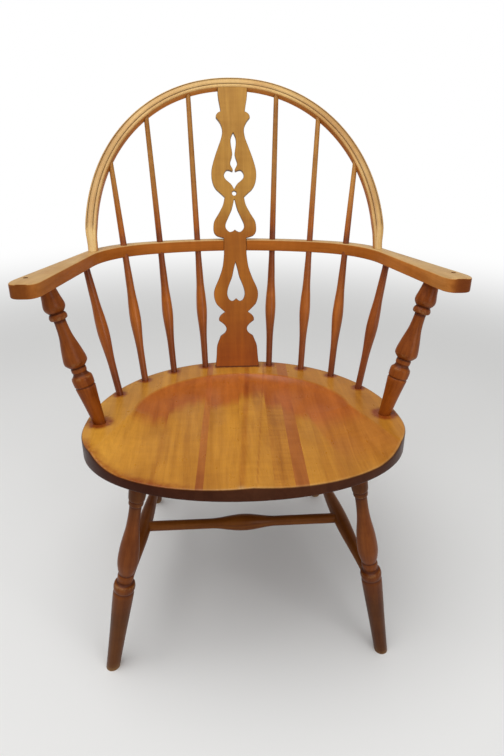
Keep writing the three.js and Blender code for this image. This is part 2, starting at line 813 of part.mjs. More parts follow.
// Turned stretches between a foot and a top, in shares, as a profile
function turning(line, stretches, diameter) {
  return runThrough(stretches, shortStretchKnots)
    .map((p) => [p.x * line.length, (p.y * diameter) / 2]);
}

function postFootDiameter() {
  return postTurningShares[0][0][1] * postDiameter;
}

function armPost(side) {
  const line = postLine(side);
  const profile = turning(line, postTurningShares, postDiameter);
  const collar = profile[profile.length - 1][1];
  const body = turned(line.foot, line.top, [
    [-postSeatDepth, profile[0][1]],
    ...profile,
    [line.length + overrun, collar],
  ]);
  const underside = railHeight - railThickness - fit;
  const tenon = peg(line.foot, line.top, postTenonDiameter, line.length - overrun,
    line.length + postTenonDepth);
  return body.subtract(slab(underside, underside + 2 * overrun)).add(tenon);
}

// Legs
function floorCut() {
  const reach = 2 * seatHeight;
  const geometry = new THREE.BoxGeometry(reach, reach, reach);
  geometry.translate(0, 0, -reach / 2);
  geometry.rotateX(seatTilt);
  geometry.translate(0, 0, -seatHeight);
  return solidOf(geometry);
}

function leg(end, side) {
  const line = legLine(end, side);
  const profile = turning(line, legTurningShares, legDiameter);
  const collar = profile[profile.length - 1][1];
  const body = turned(line.foot, line.top, [
    [-overrun, profile[0][1]],
    ...profile,
    [line.length + overrun, collar],
  ]);
  const tenon = peg(line.foot, line.top, legTenonDiameter, line.length - overrun,
    line.length + legTenonDepth);
  const stretcher = sideStretcherLine(side);
  const joint = end === 'front' ? [stretcher.foot, stretcher.top] : [stretcher.top, stretcher.foot];
  const socket = bore(joint[0], joint[1], sideEndDiameter, socketStart(), 2 * overrun);
  const underside = -seatThickness - fit;
  return body.subtract(slab(underside, underside + 2 * overrun)).add(tenon)
    .subtract(floorCut()).subtract(socket);
}

// Distance from a leg's axis at which a stretcher's end stops
function socketStart() {
  return legDiameter / 2 - stretcherLegDepth;
}

// Stretchers
function bulge(middle, halfLength, endDiameter, diameter, from, to) {
  const profile = [[from, endDiameter / 2]];
  for (let i = 0; i <= bulgeSteps; i += 1) {
    const turn = (2 * i) / bulgeSteps - 1;
    const along = middle + halfLength * turn;
    const swell = (1 + Math.cos(Math.PI * turn)) / 2;
    profile.push([along, THREE.MathUtils.lerp(endDiameter, diameter, swell) / 2]);
  }
  profile.push([to, endDiameter / 2]);
  return profile;
}

// A side stretcher is thickest where the centre stretcher enters it
function sideStretcher(side) {
  const line = sideStretcherLine(side);
  const start = socketStart();
  const rise = turned(line.foot, line.top, bulge(centreJointShare * line.length,
    sideBulgeHalfLength, sideEndDiameter, sideBulgeDiameter, start, line.length - start));
  const centre = centreStretcherLine();
  const joint = side < 0 ? [centre.foot, centre.top] : [centre.top, centre.foot];
  const socket = bore(joint[0], joint[1], centreEndDiameter, centreSocketStart(), 2 * overrun);
  return rise.subtract(socket);
}

function centreSocketStart() {
  return sideBulgeDiameter / 2 - stretcherCentreDepth;
}

function centreStretcher() {
  const line = centreStretcherLine();
  const start = centreSocketStart();
  return turned(line.foot, line.top, bulge(line.length / 2, centreBulgeHalfLength,
    centreEndDiameter, centreBulgeDiameter, start, line.length - start));
}

function buildChair() {
  const bench = new THREE.Group();
  bench.add(...seatBoards());
  bench.add(piece('arm_rail', armRail(), woods.amber));
  bench.add(piece('back_bow', backBow(), woods.amber));
  bench.add(piece('splat', splat(), woods.amber));
  bench.add(piece('centre_stretcher', centreStretcher(), woods.dark));
  for (const [sideName, side] of sides) {
    longSpindles.forEach((spindle, i) => {
      bench.add(piece(`long_spindle_${sideName}_${i + 1}`, longSpindle(spindleLine(spindle, side)),
        woods.spindle));
    });
    bench.add(piece(`short_spindle_${sideName}`, shortSpindle(shortSpindleLine(side)),
      woods.spindle));
    bench.add(piece(`arm_post_${sideName}`, armPost(side), woods.dark));
    bench.add(piece(`side_stretcher_${sideName}`, sideStretcher(side), woods.dark));
    for (const end of ['front', 'rear']) {
      bench.add(piece(`${end}_leg_${sideName}`, leg(end, side), woods.dark));
    }
  }
  return bench;
}

// The seat leans back on its feet: the drawing is tilted, stood on z = 0 and centred
function standing(bench) {
  bench.rotation.x = -seatTilt;
  bench.position.z = seatHeight * Math.cos(seatTilt);
  const chair = new THREE.Group();
  chair.add(bench);
  chair.updateMatrixWorld(true);
  const box = new THREE.Box3().setFromObject(chair, true);
  bench.position.y = -(box.min.y + box.max.y) / 2;
  chair.updateMatrixWorld(true);
  return chair;
}

export default standing(buildChair());
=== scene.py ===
import math

import bmesh
import bpy
import numpy as np
from bpy.props import FloatProperty, FloatVectorProperty, IntProperty, PointerProperty
from mathutils import Euler, Matrix, Vector


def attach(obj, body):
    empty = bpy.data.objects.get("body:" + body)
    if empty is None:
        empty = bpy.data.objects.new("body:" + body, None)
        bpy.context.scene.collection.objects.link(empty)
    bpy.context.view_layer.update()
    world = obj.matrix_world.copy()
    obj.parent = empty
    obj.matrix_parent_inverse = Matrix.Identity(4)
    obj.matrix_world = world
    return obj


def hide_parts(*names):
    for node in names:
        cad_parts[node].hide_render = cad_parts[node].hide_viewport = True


bl_info = {
    "name": "Captains Chair",
    "version": (1, 0, 0),
    "blender": (4, 5, 0),
    "location": "3D View > Sidebar > Chair",
    "description": "Builds a wooden captains chair piece by piece, with its finishes and a studio",
    "category": "Add Mesh",
}

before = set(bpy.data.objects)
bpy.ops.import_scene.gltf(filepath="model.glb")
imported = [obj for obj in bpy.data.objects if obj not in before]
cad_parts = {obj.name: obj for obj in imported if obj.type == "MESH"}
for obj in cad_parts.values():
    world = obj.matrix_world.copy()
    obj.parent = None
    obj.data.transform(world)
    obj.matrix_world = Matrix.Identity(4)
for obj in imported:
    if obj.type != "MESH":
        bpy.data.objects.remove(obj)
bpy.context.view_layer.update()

# The chair is drawn on the plane of its seat, in metres: x to the side, y to the back, z up,
# with z = 0 on the flat rim of the seat. Each finished piece is then tilted and stood on its feet.

SIDES = (("left", -1), ("right", 1))
# Points closer than this are one, in metres
TOUCHING = 1e-6
# Points nearer than this to a face lie on it, in metres
FLUSH = 1e-4
# Where the points of an eased edge are on its quarter turn, in degrees
EASED_TURNS = (22.5, 45, 67.5, 90)

# Widths of the glued seat boards as shares of the seat, from left to right
BOARD_SHARES = (0.2505, 0.1155, 0.0217, 0.0975, 0.092, 0.056, 0.0379, 0.0487, 0.2802)
RED_BOARDS = (3, 7)
DARK_FRONT_BOARD = 3
# How light each board is, from -1 to 1, and how strongly its grain curls, from 0 to 1
BOARD_TONES = (0.1, 0.0, 0.15, 0.0, 0.1, -0.35, -0.1, 0.1, -0.25)
BOARD_CURLS = (0.05, 0.1, 0.15, 0.1, 0.25, 0.6, 0.3, 0.1, 0.15)
# Where the redder finish of the dish ends towards the front: y in metres at the left and at
# the right edge of each board
BLUSH_LIMITS = ((0.02, -0.012), (0.025, 0.088), (0.09, 0.07), (0.045, 0.06), (0.085, 0.105),
                (0.05, 0.045), (0.03, 0.02), (0, -0.015), (-0.012, -0.6))
# Dark streaks in the boards: place across the seat in front and behind, as shares of it from
# left to right, half-width in metres and strength
STREAK_SHARES = ((0.489, 0.522, 0.0055, 0.75), (0.529, 0.587, 0.0012, 0.6),
                 (0.712, 0.7, 0.0012, 0.3), (0.77, 0.762, 0.006, 0.3), (0.245, 0.262, 0.004, 0.4),
                 (0.6, 0.624, 0.0012, 0.35))

# Knots in the seat: x, y and size in metres
KNOTS = ((0.031, 0.078, 0.009), (-0.002, -0.08, 0.011), (0.038, -0.088, 0.008))

# Half of the bow's bead moulding: across the width from the inner edge (-1) to the outer
# edge (1), and through the thickness from the back face (-1) to the front face (1)
BOW_SECTION_SHARES = (
    (-1, 0), (-1, 0.68), (-0.985, 0.77), (-0.905, 0.875), (-0.825, 0.98), (-0.74, 1), (-0.51, 1),
    (-0.47, 0.96), (-0.42, 0.86), (-0.37, 0.96), (-0.33, 1), (0.1, 1), (0.56, 1), (0.6, 0.96),
    (0.65, 0.86), (0.7, 0.96), (0.74, 1), (0.82, 1), (0.905, 0.875), (0.985, 0.77), (1, 0.68),
    (1, 0), (1, -0.68), (0.985, -0.77), (0.905, -0.875), (0.825, -0.98), (0.74, -1), (0, -1),
    (-0.74, -1), (-0.825, -0.98), (-0.905, -0.875), (-0.985, -0.77), (-1, -0.68),
)

# Where its two grooves are across the width
BOW_GROOVE_SHARES = (-0.42, 0.65)

# One side of the splat, from the seat up: height share, half-width share
SPLAT_EDGE_SHARES = (
    ((0, 1), (0.04, 0.95), (0.082, 0.91), (0.106, 0.81), (0.122, 0.735)),
    ((0.122, 0.735), (0.135, 0.53), (0.15, 0.468), (0.165, 0.57), (0.18, 0.795)),
    ((0.18, 0.795), (0.191, 0.785), (0.202, 0.7), (0.213, 0.525)),
    ((0.213, 0.525), (0.228, 0.72), (0.245, 0.9), (0.272, 0.993), (0.3, 0.96), (0.345, 0.73),
     (0.385, 0.575), (0.43, 0.505)),
    ((0.43, 0.505), (0.489, 0.505)),
    ((0.489, 0.505), (0.4965, 0.8), (0.51, 0.93), (0.53, 0.95), (0.552, 0.895), (0.58, 0.69),
     (0.609, 0.508), (0.6365, 0.43)),
    ((0.6365, 0.43), (0.652, 0.63), (0.666, 0.81), (0.685, 0.93), (0.712, 0.985), (0.74, 0.96),
     (0.78, 0.82), (0.82, 0.64), (0.85, 0.51), (0.877, 0.478), (0.9, 0.58), (0.917, 0.74)),
    ((0.917, 0.74), (0.926, 0.72), (0.934, 0.64), (0.939, 0.527)),
    ((0.939, 0.527), (0.96, 0.565), (0.98, 0.61), (1, 0.635)),
)
# One side of each piercing, from its lowest point on the centre line to its highest
SPLAT_PIERCING_SHARES = (
    (((0.265, 0), (0.257, 0.1), (0.255, 0.2), (0.262, 0.32), (0.28, 0.39), (0.3, 0.36),
      (0.32, 0.28), (0.345, 0.16), (0.375, 0.077), (0.3986, 0)),),
    (((0.5196, 0), (0.513, 0.12), (0.512, 0.25), (0.524, 0.39), (0.54, 0.4), (0.566, 0.265),
      (0.595, 0.11), (0.6333, 0)),),
    (((0.666, 0), (0.6835, 0.128), (0.7, 0.35), (0.712, 0.43), (0.724, 0.4), (0.733, 0.28),
      (0.728, 0.06)),
     ((0.728, 0.06), (0.736, 0.045), (0.756, 0.15), (0.778, 0.077), (0.7935, 0.053),
      (0.8214, 0.102), (0.835, 0.115), (0.8495, 0.087), (0.865, 0))),
)

# Middle of the bow between the rail and its rounded part: share of that length, share of how
# far the bow widens
BOW_FOOT_SHARES = ((0, 0), (0.25, 0.18), (0.5, 0.5), (0.75, 0.82))

# Long spindles from the splat outwards: share of the seat's half width at the foot, share of
# the bow's half width at the top
LONG_SPINDLE_SHARES = ((0.2491, 0.3236), (0.4874, 0.6255), (0.6913, 0.8727))
# Swelling of a spindle: share of the rail height, share of the greatest diameter
SPINDLE_SWELL_SHARES = (
    (0.12, 0.6), (0.23, 0.64), (0.31, 0.75), (0.4, 0.93), (0.47, 1), (0.56, 0.91), (0.656, 0.73),
    (0.753, 0.66),
)
# Turning of an arm post: share of its height, share of its greatest diameter
POST_TURNING_SHARES = (
    ((0, 0.54), (0.14, 0.68), (0.281, 0.87)),
    ((0.281, 0.87), (0.291, 0.82), (0.3, 0.88)),
    ((0.3, 0.88), (0.342, 0.9), (0.36, 0.86)),
    ((0.36, 0.86), (0.38, 0.64), (0.395, 0.6)),
    ((0.395, 0.6), (0.403, 0.65), (0.424, 0.65), (0.432, 0.6)),
    ((0.432, 0.6), (0.45, 0.84), (0.479, 1), (0.56, 0.84), (0.66, 0.57), (0.745, 0.49),
     (0.77, 0.5)),
    ((0.77, 0.5), (0.777, 0.7), (0.793, 0.76), (0.81, 0.7), (0.82, 0.6)),
    ((0.82, 0.6), (0.845, 0.84), (0.873, 0.9), (0.93, 0.76), (1, 0.62)),
)
# Turning of a leg: share of its height, share of its greatest diameter
LEG_TURNING_SHARES = (
    ((0, 0.64), (0.2, 0.77), (0.38, 0.92), (0.436, 0.95)),
    ((0.436, 0.95), (0.449, 0.89), (0.458, 0.95)),
    ((0.458, 0.95), (0.472, 0.98), (0.487, 0.92)),
    ((0.487, 0.92), (0.494, 0.69), (0.502, 0.66)),
    ((0.502, 0.66), (0.512, 0.72), (0.53, 0.73), (0.54, 0.66)),
    ((0.54, 0.66), (0.572, 0.84), (0.615, 0.93), (0.685, 0.84), (0.77, 0.6), (0.832, 0.525),
     (0.884, 0.53)),
    ((0.884, 0.53), (0.889, 0.63), (0.904, 0.64), (0.909, 0.6)),
    ((0.909, 0.6), (0.916, 0.71), (0.96, 0.76), (1, 0.75)),
)

# The names of the materials
WOOD_NAMES = {"seat_golden": "golden_maple_seat", "seat_red": "red_maple_seat",
              "splat_wood": "splat_maple", "spindle_wood": "spindle_maple",
              "bent_wood": "bent_maple", "turned_wood": "turned_maple"}
# How a wood's colour changes with the height above the floor: height in metres, colour
WOOD_HEIGHTS = {
    "splat_wood": ((0.4052, "stain_and_shade"), (0.4078, "splat_low"), (0.43, "splat_low"),
                   (0.56, "splat_middle"), (0.665, "splat_middle"), (0.72, "splat_high")),
    "spindle_wood": ((0.43, "spindle_low"), (0.55, "spindle_middle"), (0.64, "spindle_low"),
                     (0.67, "spindle_low"), (0.69, "spindle_middle"), (0.79, "spindle_high")),
    # The turned wood is darkest at the floor and just under the seat: painted shade
    "turned_wood": ((0.12, "turned_shade"), (0.2, "turned_middle"), (0.31, "turned_middle"),
                    (0.375, "turned_shade"), (0.41, "post_low"), (0.47, "post_low"),
                    (0.54, "post_high")),
}

# Noises of the finish: marks to the metre along the grain and twice across it, detail, roughness
NOISES = {
    "wander": ((2.2, 15, 15), 2.0, 0.55),
    "growth_lines": ((1.3, 105, 105), 5.0, 0.62),
    "broad_streaks": ((2.6, 26, 26), 2.0, 0.55),
    "blotches": ((11, 15, 15), 3.0, 0.6),
    "fibres": ((24, 640, 640), 3.0, 0.6),
    "curl": ((120, 10, 10), 2.0, 0.55),
    "ripple": ((130, 14, 14), 1.0, 0.55),
    "pores": ((60, 1400, 1400), 2.0, 0.5),
    "unevenness": ((15, 24, 24), 4.0, 0.62),
    "fingers": ((9, 42, 42), 3.0, 0.55),
    "patches": ((90, 90, 90), 3.0, 0.6),
    "rubbing": ((90, 140, 140), 3.0, 0.6),
    "gloss": ((30, 60, 60), 3.0, 0.6),
}
# How much each noise has of the figure of the wood
FIGURE_SHARES = {"growth_lines": 0.32, "broad_streaks": 0.26, "blotches": 0.24, "fibres": 0.1,
                 "curl": 0.08}
# How much red, green and blue the figure takes away where it is dark and adds where it is light
FIGURE_DARK = (-0.24, -0.32, -0.4)
FIGURE_LIGHT = (0.14, 0.16, 0.2)
# What red, green and blue are multiplied by at a tone of -1 and of 1, in a ripple, in a streak
TONE_DARK = (0.72, 0.56, 0.5)
TONE_LIGHT = (1.28, 1.44, 1.5)
RIPPLE_DARK = (0.9, 0.85, 0.8)
RIPPLE_LIGHT = (1.06, 1.08, 1.1)
STREAK_DARK = (0.66, 0.48, 0.4)

# Lamps: place, the point that they face, and width, in metres
TOP_LIGHT = ((-0.5, -0.5, 2.6), (0, 0, 0.4), 2.2)
FRONT_LIGHT = ((1.6, -2.4, 1.5), (0, 0, 0.5), 1.6)


def length(name, description, default):
    return FloatProperty(name=name, description=description, default=default, unit="LENGTH",
                         subtype="DISTANCE", precision=5)


def slant(name, description, degrees):
    return FloatProperty(name=name, description=description, default=math.radians(degrees),
                         unit="ROTATION", subtype="ANGLE")


def share(name, description, default):
    return FloatProperty(name=name, description=description, default=default, precision=3)


def colour(name, description, default):
    return FloatVectorProperty(name=name, description=description, default=default, size=3,
                               min=0, max=1, subtype="COLOR")


class SeatSizes(bpy.types.PropertyGroup):
    height: length("Height", "Rim of the seat above the floor, at its middle", 0.4202)
    tilt: slant("Tilt", "How far the seat leans back", 4.016)
    set_back: length("Set back", "Shift of the drawing that centres the chair", -0.09024445)
    half_width: length("Half width", "From the middle to the side of the seat", 0.277)
    front_reach: length("Front reach", "From the widest line to the front edge", 0.182)
    rear_reach: length("Rear reach", "From the widest line to the rear edge", 0.293)
    widest_y: length("Widest line", "Where the seat is widest", -0.05)
    thickness: length("Thickness", "Thickness of the glued boards", 0.036)
    edge_round: length("Edge round", "Radius of the eased edges", 0.003)
    power: share("Squareness", "2 is an ellipse, more is squarer", 2.1)
    board_slant: slant("Board slant", "How far the boards lie askew", 2.8)
    rings: IntProperty(name="Rings", description="Rings of faces in the top", default=80, min=20)


class SaddleSizes(bpy.types.PropertyGroup):
    half_width: length("Half width", "From the middle to the side of the dish", 0.196)
    rear_reach: length("Rear reach", "From its centre to its rear edge", 0.163)
    centre_y: length("Centre", "Where the middle of the dish lies", 0.01)
    power: share("Squareness", "2 is an ellipse, more is squarer", 1.9)
    flare: share("Flare", "How fast the dish widens to the front", 0.38)
    front_reach: length("Front reach", "How far the dish runs out in front", 0.41)
    depth: length("Depth", "Depth at its centre", 0.014)
    side_depth: length("Side depth", "Depth towards the thighs", 0.022)
    pommel_depth: length("Pommel depth", "Depth at the front between the thighs", 0.0095)
    crisp: share("Crisp edge", "Steepness of the edge behind", 8)
    soft: share("Soft edge", "Steepness of the edge at the sides", 5)
    spread: share("Spread", "How soon the side depth is reached", 3)


class RailSizes(bpy.types.PropertyGroup):
    height: length("Height", "Top of the rail above the seat", 0.259)
    thickness: length("Thickness", "Thickness of the rail", 0.022)
    edge_round: length("Edge round", "Radius of the eased edges", 0.002)
    back_depth: length("Back depth", "Depth of the rail behind the sitter", 0.024)
    inner_back_radius: length("Back radius", "Radius of the inner edge behind", 0.47)
    inner_corner_radius: length("Inner corner", "Radius of the inner corner", 0.154)
    outer_corner_radius: length("Outer corner", "Radius of the outer corner", 0.145)
    overhang: length("Overhang", "From the side of the seat to the inner edge", 0.0119)
    arm_width: length("Arm width", "Width of an arm", 0.0401)
    inner_splay: slant("Inner splay", "How far the inner edges open to the front", 10)
    outer_splay: slant("Outer splay", "How far the outer edges open to the front", 15.6)
    front_y: length("Front", "Where the hands end", -0.097)
    hand_outer_round: length("Outer hand round", "Rounding of the outer front corner", 0.0387)
    hand_inner_round: length("Inner hand round", "Rounding of the inner front corner", 0.022)
    hand_round_share: share("Hand shape", "How square the rounded hand is", 0.65)
    hole_offset: length("Hole offset", "From the middle of the arm to its small hole", 0.011)
    hole_y: length("Hole y", "Place of the small hole in each hand", -0.053)
    hole_diameter: length("Hole diameter", "Diameter of the small hole", 0.0075)
    hole_depth: length("Hole depth", "Depth of the small hole", 0.008)
    hand_steps: IntProperty(name="Hand steps", description="Sections round a hand", default=16,
                            min=4)


class BowSizes(bpy.types.PropertyGroup):
    foot_y: length("Foot y", "Where the bow stands on the rail", 0.165)
    lean: slant("Lean", "How far the bow leans back", 34)
    spread: length("Spread", "How far the bow widens above its feet", 0.004)
    rise: length("Rise", "Height of the rounded part along the bow", 0.3165)
    straight: length("Straight", "Length of the straight part above the rail", 0.04)
    power: share("Squareness", "2 is an ellipse, more is squarer", 2.1)
    width: length("Width", "Width of the bow seen from the front", 0.021)
    thickness: length("Thickness", "Thickness of the bow from front to back", 0.017)
    foot_diameter: length("Foot diameter", "Diameter just above the rail", 0.0185)
    facet: length("Facet", "Over how much of its foot the bow turns round", 0.055)
    tenon_diameter: length("Tenon diameter", "Diameter in the rail", 0.014)
    tenon_length: length("Tenon length", "Length in the rail", 0.0157)


class SplatSizes(bpy.types.PropertyGroup):
    foot_y: length("Foot y", "Where the front of the splat meets the seat", 0.208)
    thickness: length("Thickness", "Thickness of the board", 0.011)
    top_proud: length("Top", "From the middle of the bow to the face of the splat", 0.0067)
    run_on: length("Run-on", "What the splat runs on above its drawn edge", 0.0124)
    half_width: length("Half width", "Half the greatest width", 0.047)
    stem_share: share("Stem", "Half width at the rail, as a share", 0.505)
    rail_share: share("Rail place", "Height of the rail, as a share of the drawn edge", 0.4613)
    seat_depth: length("Seat depth", "Depth in the seat", 0.012)
    edge_round: length("Edge round", "Radius of the eased edges", 0.0011)
    tenon_half_width: length("Tenon half width", "Half width of the tenon in the bow", 0.022)
    tenon_thickness: length("Tenon thickness", "Thickness of the tenon in the bow", 0.006)
    tenon_setback: length("Tenon setback", "From the front face to the tenon", 0.0045)
    tenon_depth: length("Tenon depth", "Depth of the tenon in the bow", 0.008)
    eye_radius: length("Eye radius", "Radius of the small round hole", 0.0046)
    eye_share: share("Eye height", "Height of the small round hole, as a share", 0.651)


class SpindleSizes(bpy.types.PropertyGroup):
    inset: length("Inset", "From the rear edge of the seat to a long spindle", 0.02)
    short_share: share("Short spindle", "Its foot, as a share of the seat's half width", 0.8412)
    short_inset: length("Short inset", "From the rear edge to the short spindle", 0.034)
    short_top_y: length("Short spindle top", "Place of its top under the rail", 0.127)
    diameter: length("Diameter", "Diameter of the swelling", 0.022)
    foot_diameter: length("Foot diameter", "Diameter at the seat", 0.0128)
    foot_reach: length("Foot reach", "Where the swelling begins above the seat", 0.007)
    rail_diameter: length("Rail diameter", "Diameter at the rail", 0.0124)
    bow_diameter: length("Bow diameter", "Diameter at the bow", 0.0096)
    seat_depth: length("Seat depth", "Depth in the seat", 0.018)
    bow_depth: length("Bow depth", "Depth in the bow", 0.011)
    bow_setback: length("Bow setback", "From the middle of the bow's thickness", 0.0015)
    blind_depth: length("Blind depth", "Depth of the short spindle in the rail", 0.012)
    rail_share: share("Rail share", "Where the swelling has run out, of the rail's height", 0.87)


class PostSizes(bpy.types.PropertyGroup):
    x: length("Foot x", "Foot of the arm post", 0.252)
    y: length("Foot y", "Foot of the arm post", -0.032)
    top_y: length("Top y", "Under the arm", -0.019)
    diameter: length("Diameter", "Greatest diameter", 0.039)
    seat_depth: length("Seat depth", "Depth in the seat", 0.02)
    tenon_diameter: length("Tenon diameter", "Diameter in the arm", 0.016)
    tenon_depth: length("Tenon depth", "Depth in the arm", 0.014)


class LegSizes(bpy.types.PropertyGroup):
    front_x: length("Front top x", "Top of a front leg", 0.173)
    front_y: length("Front top y", "Top of a front leg", -0.161)
    front_foot_x: length("Front foot x", "Foot of a front leg", 0.249)
    front_foot_y: length("Front foot y", "Foot of a front leg", -0.162)
    rear_x: length("Rear top x", "Top of a rear leg", 0.132)
    rear_y: length("Rear top y", "Top of a rear leg", 0.154)
    rear_foot_x: length("Rear foot x", "Foot of a rear leg", 0.205)
    rear_foot_y: length("Rear foot y", "Foot of a rear leg", 0.296)
    diameter: length("Diameter", "Greatest diameter", 0.0375)
    tenon_diameter: length("Tenon diameter", "Diameter in the seat", 0.022)
    tenon_depth: length("Tenon depth", "Depth in the seat", 0.012)


class StretcherSizes(bpy.types.PropertyGroup):
    front_share: share("Front joint", "Height on the front leg, as a share", 0.4)
    rear_share: share("Rear joint", "Height on the rear leg, as a share", 0.43)
    centre_share: share("Centre joint", "Place on the side stretcher, as a share", 0.44)
    side_end: length("Side ends", "Diameter of a side stretcher at its ends", 0.016)
    side_bulge: length("Side bulge", "Greatest diameter of a side stretcher", 0.029)
    side_half_length: length("Side half length", "Half the length of that bulge", 0.15)
    centre_end: length("Centre ends", "Diameter of the centre stretcher at its ends", 0.02)
    centre_bulge: length("Centre bulge", "Greatest diameter of the centre stretcher", 0.033)
    centre_half_length: length("Centre half length", "Half the length of that bulge", 0.068)
    leg_depth: length("Leg depth", "Depth in a leg", 0.01)
    centre_depth: length("Centre depth", "Depth in a side stretcher", 0.007)


class WoodColours(bpy.types.PropertyGroup):
    golden: colour("Golden maple", "Lighter boards of the seat", (0.5, 0.215, 0.024))
    red: colour("Red maple", "Darker boards of the seat", (0.4, 0.13, 0.022))
    blush: colour("Blush", "Redder finish inside the edge of the dish", (0.4, 0.1, 0.014))
    # This colour is painted shade: the seat's side and underside, darker than the wood's own colour
    side: colour("Seat side", "Dark finish on the side of the seat", (0.068, 0.0205, 0.0075))
    splat_low: colour("Splat below", "The splat at the seat", (0.34, 0.08, 0.004))
    splat_middle: colour("Splat at the rail", "The splat about the rail", (0.4, 0.135, 0.011))
    splat_high: colour("Splat above", "The splat under the bow", (0.48, 0.245, 0.045))
    bent: colour("Bent wood", "Sides of the arm rail and the bow", (0.44, 0.14, 0.021))
    pale: colour("Pale wood", "Where the rail and the bow catch the light", (0.59, 0.38, 0.15))
    spindle_low: colour("Spindle feet", "The spindles at the seat and the rail", (0.235, 0.061, 0.013))
    spindle_middle: colour("Spindle swellings", "The swelling of the spindles", (0.4, 0.115, 0.013))
    spindle_high: colour("Spindles above", "The spindles under the bow", (0.43, 0.2, 0.042))
    # Painted shade: the legs and stretchers are darker than the posts, most of all at the floor and
    # just under the seat
    turned_shade: colour("Feet", "The legs at the floor", (0.1, 0.029, 0.003))
    turned_middle: colour("Legs", "The legs and the stretchers", (0.185, 0.049, 0.007))
    post_low: colour("Post feet", "The arm posts at the seat", (0.27, 0.066, 0.005))
    post_high: colour("Posts", "The arm posts above", (0.24, 0.063, 0.01))
    smudge: colour("Smudge", "What gathers round the feet on the seat", (0.22, 0.036, 0.005))
    # This colour is painted shade in the grooves and the small holes, and real stain at the splat's
    # foot and on the end grain of the hands
    stain_and_shade: colour("Stain", "What gathers in grooves", (0.06, 0.014, 0.007))
    pore: colour("Pores", "What lies in the pores", (0.1, 0.03, 0.01))


class StudioSettings(bpy.types.PropertyGroup):
    floor: colour("Floor", "Colour of the floor", (0.86, 0.86, 0.85))
    floor_radius: length("Floor radius", "Reach of the floor", 12)
    fade_start: length("Fade start", "Where the floor begins to fade into white", 1.1)
    fade_end: length("Fade end", "Where the floor has faded into white", 3.2)
    ambient: share("Room light", "Strength of the light from all round", 0.4)
    key: FloatProperty(name="Top light", description="Power of the soft light overhead",
                       default=42, unit="POWER")
    fill: FloatProperty(name="Front light", description="Power of the soft light in front",
                        default=18, unit="POWER")
    lens: FloatProperty(name="Lens", description="Focal length of the camera", default=26.479,
                        unit="CAMERA")
    sensor: FloatProperty(name="Sensor", description="Width of the camera's sensor", default=36,
                          unit="CAMERA")
    camera_place: FloatVectorProperty(
        name="Camera place", description="Where the camera stands",
        default=(-0.05691, -0.96209, 0.93332), size=3, unit="LENGTH", subtype="TRANSLATION")
    camera_turn: FloatVectorProperty(
        name="Camera turn", description="How the camera is turned about x, y and z",
        default=tuple(math.radians(a) for a in (62.7921, -0.595, -4.3922)), size=3,
        unit="ROTATION", subtype="EULER")


class ChairSettings(bpy.types.PropertyGroup):
    seat: PointerProperty(type=SeatSizes, name="Seat", description="Sizes of the seat")
    saddle: PointerProperty(type=SaddleSizes, name="Saddle", description="Dish of the seat")
    rail: PointerProperty(type=RailSizes, name="Rail", description="Sizes of the arm rail")
    bow: PointerProperty(type=BowSizes, name="Bow", description="Sizes of the bow")
    splat: PointerProperty(type=SplatSizes, name="Splat", description="Sizes of the splat")
    spindle: PointerProperty(type=SpindleSizes, name="Spindles", description="Spindle sizes")
    post: PointerProperty(type=PostSizes, name="Posts", description="Sizes of the arm posts")
    leg: PointerProperty(type=LegSizes, name="Legs", description="Sizes of the legs")
    stretcher: PointerProperty(type=StretcherSizes, name="Stretchers",
                               description="Sizes of the stretchers")
    wood: PointerProperty(type=WoodColours, name="Woods", description="Colours of the finish")
    studio: PointerProperty(type=StudioSettings, name="Studio", description="Floor and lights")
    fit: length("Fit", "Room round a glued tenon", 0.0003)
    overrun: length("Overrun", "How far a cutting shape runs past what it cuts", 0.02)
    turned_sides: IntProperty(name="Turned sides", description="Faces round a turning",
                              default=44, min=12)


def sizes():
    return bpy.context.scene.captains_chair


# Curves

def smooth_run(points, steps):
    """A smooth line through points, with a number of steps from each to the next."""
    line = [Vector(p) for p in points]
    run = [line[0]]
    for i in range(len(line) - 1):
        before = line[max(i - 1, 0)]
        start = line[i]
        end = line[i + 1]
        after = line[min(i + 2, len(line) - 1)]
        leave = (end - before) / 2
        arrive = (after - start) / 2
        for k in range(1, steps + 1):
            t = k / steps
            run.append((2 * start - 2 * end + leave + arrive) * t ** 3
                       + (-3 * start + 3 * end - 2 * leave - arrive) * t ** 2 + leave * t + start)
    return run


def run_through(stretches, steps=6):
    """Smooth stretches end to end, with a corner where two of them meet."""
    points = []
    for stretch in stretches:
        run = smooth_run(stretch, steps if len(stretch) > 2 else 1)
        points += run[1:] if points else run
    return points


def superellipse(angle, half_width, reach, power):
    """A point on an oval that is squarer than an ellipse."""
    c = math.cos(angle)
    s = math.sin(angle)
    return Vector((half_width * math.copysign(abs(c) ** (2 / power), c),
                   reach * math.copysign(abs(s) ** (2 / power), s)))


def arc(centre, radius, start, end, steps):
    """Points on a circle from one angle to another, both of them included."""
    angles = [start + (end - start) * k / steps for k in range(steps + 1)]
    return [centre + Vector((radius * math.cos(a), radius * math.sin(a))) for a in angles]


def mirrored(points):
    """The same points on the other side of the chair's middle, in the opposite order."""
    return [Vector((-p.x, *p[1:])) for p in reversed(points)]


# Solids

def placed(name, data):
    """An object that stands in the scene with its mesh, curve, lamp or camera."""
    made = bpy.data.objects.new(name, data)
    bpy.context.scene.collection.objects.link(made)
    return made


def as_shown(made):
    """A bmesh of an object with its modifiers, or of a filled curve."""
    bpy.context.view_layer.update()
    graph = bpy.context.evaluated_depsgraph_get()
    mesh = bpy.data.meshes.new_from_object(made.evaluated_get(graph))
    bm = bmesh.new()
    bm.from_mesh(mesh)
    bpy.data.meshes.remove(mesh)
    return bm


def drawn_out(bm, edges):
    """Extrudes a loop of edges; gives the new vertices and the new loop."""
    grown = bmesh.ops.extrude_edge_only(bm, edges=edges)["geom"]
    verts = {g for g in grown if isinstance(g, bmesh.types.BMVert)}
    return verts, [g for g in grown if isinstance(g, bmesh.types.BMEdge)
                   and g.verts[0] in verts and g.verts[1] in verts]


